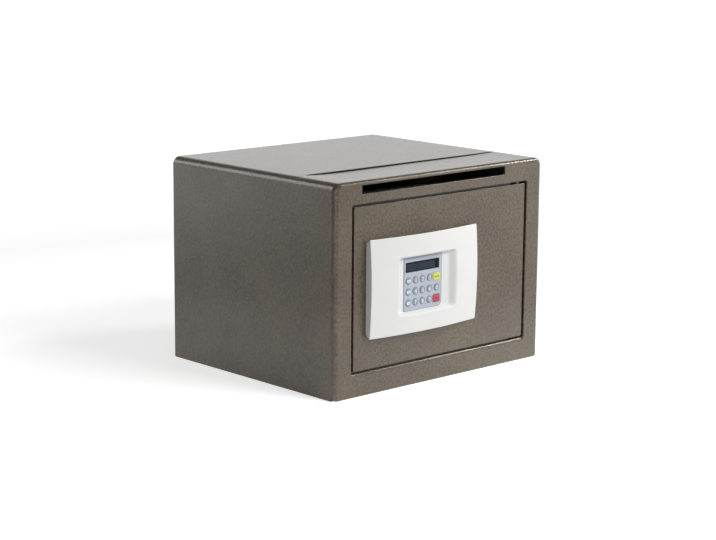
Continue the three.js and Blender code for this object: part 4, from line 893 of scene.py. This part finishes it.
def build_cover():
    """The white cover as one skin between its outline and the pocket's: floor, fillet, drafted
    wall, rounded mouth, roof, rolled rim, side, and back inside at the wall's thickness. On its
    right the pocket rises as half a cosine wave from the floor to the roof instead. The roof's rows
    move in equal steps from the mouth's outline to the rim's, and lie on cover_front. Towards the
    door the upper and the lower side lean in by 3.8 mm."""
    rim, mouth, slope, fillet, wall, draft, undercut = 0.9, 2.4, 7.0, 1.5, 2.5, 1.6, 3.8
    corner, cuts = 1.6, (8, 24)
    outer = rectangle(*COVER, corner, *cuts)
    foot = rectangle(*COVER[:2], COVER[2] + undercut, COVER[3] - undercut, corner, *cuts)
    rows, depths = [], []

    def pocket(inset, right):
        """The pocket's outline, moved in by the inset and on its right side by another."""
        x0, x1, z0, z1 = POCKET
        corner = max(4.0 - inset, 0.6)
        return rectangle(x0 + inset, x1 - right, z0 + inset, z1 - inset, corner, *cuts)(0)

    def level(loop, depth):
        """A row of the skin: an outline and the depth of its points."""
        rows.append(loop)
        depths.append(np.broadcast_to(depth, len(loop)))

    def lay(loop, lift=0.0):
        """A row that lies on the roof, or behind it by the lift."""
        level(loop, cover_front(loop[:, 0], loop[:, 1]) + lift)

    angles = np.linspace(0, QUARTER, 7)
    insets = np.concatenate([draft + fillet * (1 - np.sin(angles)), mouth * (np.cos(angles) - 1)])
    for row, share in enumerate(np.linspace(0, 1, len(insets))):
        loop = pocket(insets[row], draft + fillet - (slope + draft + fillet) * share)
        front = cover_front(loop[:, 0], loop[:, 1])
        turn = angles[row % len(angles)]
        if row < len(angles):
            walled = FLOOR - fillet * (1 - math.cos(turn))
        else:
            walled = front + mouth * (1 - math.sin(turn))
        wave = FLOOR + (front - FLOOR) * (1 - math.cos(2 * QUARTER * share)) / 2
        rightward = np.clip((loop[:, 0] - loop[:, 0].max()) / 8 + 1, 0, 1)
        level(loop, walled + (wave - walled) * rightward)
    start, end = pocket(-mouth, -slope), outer(rim)
    for share in np.linspace(0, 1, 19)[1:-1]:
        lay(start + (end - start) * share)
    for angle in np.linspace(0, QUARTER, 7):
        lay(outer(rim * (1 - math.sin(angle))), rim * (1 - math.cos(angle)))
    level(foot(0), FACE - 0.3)
    level(foot(0.3), FACE)
    level(foot(wall), FACE)
    lay(outer(wall), wall + 1)
    lay(outer(wall + 1), wall)
    start, end = outer(wall + 1), pocket(-2, -slope - 2)
    for share in np.linspace(0, 1, 9)[1:]:
        lay(start + (end - start) * share, wall)
    level(pocket(-2, -slope - 2), FLOOR + 2)

    rows, depths = np.stack(rows), np.stack(depths)
    piece = Piece()
    piece.grid(placed(rows[..., 0], rows[..., 1], depths, "xzy"))
    piece.fill([rows[0]], FLOOR)
    piece.fill([rows[-1]], FLOOR + 2)
    piece.finish("cover_shell", "door", "lock_cover", "white_plastic", white_abs, smooth_below=40)


ROUND_KEYS = {
    "key_1": "1", "key_2": "2", "key_3": "3", "key_4": "4", "key_5": "5",
    "key_6": "6", "key_7": "7", "key_8": "8", "key_9": "9", "key_0": "0",
    "key_upper": "up", "key_middle": "bar", "key_lower": "down",
}
KEY_FLANGE = 0.7
# How far a sign stands out of a key's face, and how far it reaches into the key
INK_PROUD, INK_SUNK = 0.06, 0.3


def key_outline(node, grow=0.0):
    """The outline of a key's stem, which is its flange less 0.7 mm, grown by a gap."""
    x0, x1, _, _, z0, z1 = span(node)
    shrink = KEY_FLANGE - grow
    if node in ROUND_KEYS:
        return circle((x0 + x1) / 2, (z0 + z1) / 2, (x1 - x0) / 2 - shrink)
    return rectangle(x0 + shrink, x1 - shrink, z0 + shrink, z1 - shrink, 2.0 + grow)


def build_label():
    """The film in the pocket, with an opening for each key and for the window, and a darker band
    of 0.9 mm round its edge."""
    x0, x1, front, back, z0, z1 = span("keypad_pad")
    outline = rectangle(x0, x1, z0, z1, (7, 1.5, 1.5, 1.5), 10)
    wx0, wx1, _, _, wz0, wz1 = span("display_window")
    border, edge, key_gap, gap = 0.9, 0.25, 0.35, 0.3
    holes = [key_outline(node, key_gap) for node in (*ROUND_KEYS, "key_enter", "key_clear")]
    holes.append(rectangle(wx0 - gap, wx1 + gap, wz0 - gap, wz1 + gap, 1))
    levels = edge_levels(front, back, edge, 0)
    piece = Piece()
    piece.skin(outline, levels, finish=1)
    piece.fill([outline(edge), outline(border)], front, finish=1)
    for hole in holes:
        piece.skin(hole, levels, side=-1)
    piece.fill([outline(border)] + [hole(-edge) for hole in holes], front)
    piece.fill([outline(0)] + [hole(0) for hole in holes], back)
    piece.finish("key_label", "door", "keypad_pad", "pad_plastic", label_film, edge_band_film)

    x0, x1, front, back, z0, z1 = span("display_window")
    outline = rectangle(x0, x1, z0, z1, 0.8)
    field = rectangle(x0 + 1.2, x1 - 7.5, z0 + 1.2, z1 - 1.4, 0.3)
    levels = edge_levels(front, back, edge, 0)
    piece = Piece()
    piece.skin(outline, levels)
    piece.fill([outline(edge), field()], front)
    piece.fill([field()], front, finish=1)
    piece.fill([outline(0)], back)
    piece.finish("window_pane", "door", "display_window", "window", window_black, window_field)


def figure(piece, text, height, x, z, front):
    """A plain figure of the given height, from the outlines of Blender's own typeface made bolder,
    0.06 mm thick."""
    curve = bpy.data.curves.new("figure", "FONT")
    curve.body = text
    curve.resolution_u = 4
    curve.offset = curve.extrude = 0.03
    holder = new_object("figure", curve)
    solid = holder.evaluated_get(bpy.context.evaluated_depsgraph_get())
    mesh = bpy.data.meshes.new_from_object(solid)
    points = np.empty(3 * len(mesh.vertices))
    mesh.vertices.foreach_get("co", points)
    points = points.reshape(-1, 3)
    low, high = points.min(0), points.max(0)
    flat = (points - (low + high) / 2) * height / (high[1] - low[1])
    thick = np.where(points[:, 2] > 0, front - INK_PROUD, front + INK_SUNK)
    first = piece.count
    piece.add(placed(x + flat[:, 0], z + flat[:, 1], thick, "xzy"), np.zeros((0, 3), int))
    faces = [[first + corner for corner in face.vertices] for face in mesh.polygons]
    piece.faces += faces
    piece.finishes += [1] * len(faces)
    bpy.data.objects.remove(holder)
    bpy.data.curves.remove(curve)
    bpy.data.meshes.remove(mesh)


def build_keys():
    """Each key is its outline carried from a slightly domed face over a rounded edge to the stem
    and the flange behind the pocket's floor. The rows of the face move in to its centre, and the
    dome is 0.15 mm times the square of the share of the way out."""
    for node in (*ROUND_KEYS, "key_enter", "key_clear"):
        x, _, z = box_centre(node)
        front, back = span(node)[2:4]
        outline = key_outline(node)
        edge, dome, flange, digit_height, dip = 0.45, 0.15, 0.8, 5.2, 0.02
        rim = outline(edge)
        shares = np.linspace(0, 1, 6)[:, None, None]
        face = np.array([x, z]) + (rim - (x, z)) * shares
        piece = Piece()
        piece.grid(placed(face[..., 0], face[..., 1], front + dome * shares[..., 0] ** 2, "xzy"))
        stem = edge_levels(front + dome, back - flange, edge, 0)
        brim = [(-KEY_FLANGE, back - flange), (-KEY_FLANGE, back)]
        piece.skin(outline, np.concatenate([stem, brim]))
        piece.fill([outline(-KEY_FLANGE)], back)
        if node in ROUND_KEYS:
            slot, materials = "key_blue", (blue_silicone, white_ink)
            sign = ROUND_KEYS[node]
            if sign.isdigit():
                figure(piece, sign, digit_height, x, z, front + dip)
            else:
                mark_key(piece, sign, x, z, front + dip)
        else:
            slot, materials = "key_yellow", (yellow_silicone, olive_ink)
            if node == "key_clear":
                slot, materials = "key_red", (red_silicone, crimson_ink)
            bar = rectangle(x - 3.6, x + 3.6, z - 0.8, z + 0.8, 0.4)
            piece.plate(bar, front - 0.04, front + INK_SUNK, 0, 0, finish=1)
        piece.finish(f"cap_{node}", node, node, slot, *materials)


def mark_key(piece, sign, x, z, front):
    """A white bar, 6 by 3.6 mm, in which a small arrow or a dash is left open."""
    bar = rectangle(x - 3, x + 3, z - 1.8, z + 1.8, 0.6)
    if sign == "bar":
        opening = rectangle(x - 1, x + 1, z - 0.25, z + 0.25, 0.1)
    else:
        way = 1 if sign == "up" else -1
        corners = [(x - 0.9, z - 0.5 * way), (x + 0.9, z - 0.5 * way), (x, z + 0.6 * way)]
        opening = polygon(corners if way > 0 else corners[::-1])
    piece.plate(bar, front - INK_PROUD, front + INK_SUNK, 0, 0, [opening], finish=1)


# Pieces that keep their shape from model.glb

CARRIED = {
    zinc: ("bolt_carriage", "guide_stud_upper", "guide_stud_lower", "motor_bracket"),
    nickel: ("bolt_rack", "bolt_motor"),
    brass: ("drive_pinion",),
    grey_abs: ("gearbox", "lock_base_plate", "lock_cable"),
    black_abs: ("battery_box",),
    board_green: ("control_board", "keypad_board"),
}

build_face()
build_casing()
build_cabinet_plates()
build_slot_parts()
build_pivots()
build_leaf()
build_inner_cover()
build_battery_parts()
build_bolts()
build_cover()
build_label()
build_keys()
for material, nodes in CARRIED.items():
    for node in nodes:
        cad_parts[node].data.materials.clear()
        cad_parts[node].data.materials.append(material)


# Studio


def rays(add):
    """Two sockets. The first is 1 for a ray straight from the camera, the second for any ray that
    shows the background: also a mirrored one, and one through glass."""
    kinds = add("LightPath", {}).node.outputs
    names = ("Camera", "Glossy", "Transmission")
    camera, gloss, glass = (kinds[f"Is {name} Ray"] for name in names)
    first = add("Math", {0: camera, 1: gloss}, operation="MAXIMUM")
    return camera, add("Math", {0: first, 1: glass}, operation="MAXIMUM")


def lit_end(add, vector, near, far):
    """What a mirrored ray sees of the paper sweep: full white behind the object, where the
    background lamps light it, and 0.3 in front. How far behind is the dot product with the level
    direction in which the photograph's camera looks."""
    away_from_camera = (0.682, 0.731, 0)
    run = add("VectorMath", {0: vector, 1: away_from_camera}, operation="DOT_PRODUCT")
    return add("MapRange", {
        "Value": run, "From Min": near, "From Max": far, "To Min": 0.3, "To Max": 1.0,
    }, interpolation_type="SMOOTHSTEP")


def build_world():
    """The paper sweep round the horizon, and a dim ceiling above it: up to 9 degrees the sweep is
    white, and above 36 degrees all is ceiling. It is shown to the camera and in gloss and glass,
    and all other rays find an even weak fill."""
    world = bpy.data.worlds.new("studio")
    bpy.context.scene.world = world
    world.use_nodes = True
    world.node_tree.nodes.clear()
    add = partial(add_node, world.node_tree)
    direction = add("TexCoord", {}, "Generated")
    height = add("SeparateXYZ", {"Vector": direction}, "Z")
    low, high = (math.sin(math.radians(angle)) for angle in (9, 36))
    ceiling = add(
        "MapRange", {"Value": height, "From Min": low, "From Max": high},
        interpolation_type="SMOOTHSTEP",
    )
    camera, seen = rays(add)
    dim = add("Math", {0: ceiling, 1: camera}, operation="SUBTRACT", use_clamp=True)
    paper, dark_ceiling, fill_strength = (1, 1, 1, 1), (0.1, 0.1, 0.11, 1), 0.16
    background = add("Mix", {0: dim, 6: paper, 7: dark_ceiling}, data_type="RGBA")
    lit = lit_end(add, direction, -0.3, 0.3)
    lit = add("Math", {0: lit, 1: camera}, operation="MAXIMUM")
    shown = add("Background", {"Color": background, "Strength": lit})
    fill = add("Background", {"Color": paper, "Strength": fill_strength})
    both = add("MixShader", {0: seen, 1: fill, 2: shown})
    add("OutputWorld", {"Surface": both})


def build_floor():
    """A pale paper floor. For the camera it adds a painted glow of white, which rises with the
    distance from the object, so that the floor keeps the shadow and fades into the background. In
    gloss the paper is as lit_end says, and dimmer in a ring round the object, between the paper
    that the object lights up and the paper that the background lamps light."""
    material, add, place = new_material("pale paper floor")
    away = add("VectorMath", {0: place}, operation="LENGTH")
    white = add("MapRange", {
        "Value": away, "From Min": 0.4, "From Max": 1.5, "To Min": 0.6, "To Max": 1.0,
    })
    ring_radius = 0.75
    beyond = add("Math", {0: away, 1: ring_radius}, operation="SUBTRACT")
    spread = add("Math", {0: beyond}, operation="ABSOLUTE")
    ring = add("MapRange", {
        "Value": spread, "From Min": 0.05, "From Max": 0.45, "To Min": 0.15, "To Max": 1.0,
    })
    lit = lit_end(add, place, -0.35, 0.15)
    lit = add("Math", {0: lit, 1: ring}, operation="MULTIPLY")
    camera, seen = rays(add)
    shown = add("Math", {0: lit, 1: camera}, operation="MAXIMUM")
    shown = add("Math", {0: shown, 1: white}, operation="MULTIPLY")
    glow = add("Math", {0: seen, 1: shown}, operation="MULTIPLY")
    colour = add("MapRange", {
        "Value": away, "From Min": 0.45, "From Max": 0.9, "To Min": 0.82, "To Max": 0.3,
    })
    shaded(material, add, {
        "Base Color": colour, "Roughness": 0.9, "Specular IOR Level": 0.0,
        "Emission Color": (1, 1, 1, 1), "Emission Strength": glow,
    })
    half = 6.0
    corners = [(-half, -half, 0), (half, -half, 0), (half, half, 0), (-half, half, 0)]
    mesh = bpy.data.meshes.new("floor")
    mesh.from_pydata(corners, [], [(0, 1, 2, 3)])
    mesh.materials.append(material)
    floor = new_object("floor", mesh)


def build_lamp(name, place, wide, tall, power, mirrored=True):
    """A softbox of the given size in metres and power in watts, whose -Z points from its place at
    the middle of the object. Only one that is mirrored shows as a highlight."""
    middle = Vector((0, 0, 0.12))
    light = bpy.data.lights.new(name, "AREA")
    light.shape = "RECTANGLE"
    light.size, light.size_y, light.energy = wide, tall, power
    lamp = new_object(name, light)
    lamp.location = place
    lamp.rotation_euler = (middle - Vector(place)).to_track_quat("-Z", "Y").to_euler()
    lamp.visible_camera = False
    lamp.visible_glossy = mirrored


def build_camera():
    """The camera that was solved from the photograph: its place, its yaw from +Y to +X, its pitch
    down and its roll. The focal length was solved in pixels of a picture 716 wide."""
    place = (-1.64965, -1.76975, 0.59226)
    yaw, pitch, roll = (math.radians(angle) for angle in (43.0119, 11.2441, 0.4583))
    focal_pixels, picture_width, sensor_width = 1957.694, 716, 36
    forward = math.cos(pitch)
    ahead = Vector((math.sin(yaw) * forward, math.cos(yaw) * forward, -math.sin(pitch)))
    level = Vector((math.cos(yaw), -math.sin(yaw), 0))
    upright = level.cross(ahead)
    right = level * math.cos(roll) + upright * math.sin(roll)
    up = upright * math.cos(roll) - level * math.sin(roll)
    data = bpy.data.cameras.new("photograph")
    data.sensor_fit = "HORIZONTAL"
    data.sensor_width = sensor_width
    data.lens = focal_pixels * sensor_width / picture_width
    data.clip_start, data.clip_end = 0.05, 40
    camera = new_object("photograph", data)
    turn = Matrix((right, up, -ahead)).transposed().to_4x4()
    camera.matrix_world = Matrix.Translation(place) @ turn
    bpy.context.scene.camera = camera


build_world()
build_floor()
build_lamp("front softbox", (0.7, -2.1, 1.6), 1.3, 1.0, 45, mirrored=False)
build_lamp("front sheen", (0.7, -2.1, 1.6), 1.3, 1.0, 14)
build_lamp("left softbox", (-1.35, -1.8, 0.45), 0.9, 0.7, 6)
build_lamp("left edge light", (-1.15, 1.6, 1.3), 0.7, 1.0, 6.5)
build_lamp("right edge light", (1.9, -0.8, 1.5), 0.42, 0.42, 17)
build_camera()
bpy.context.scene.view_settings.view_transform = "Standard"
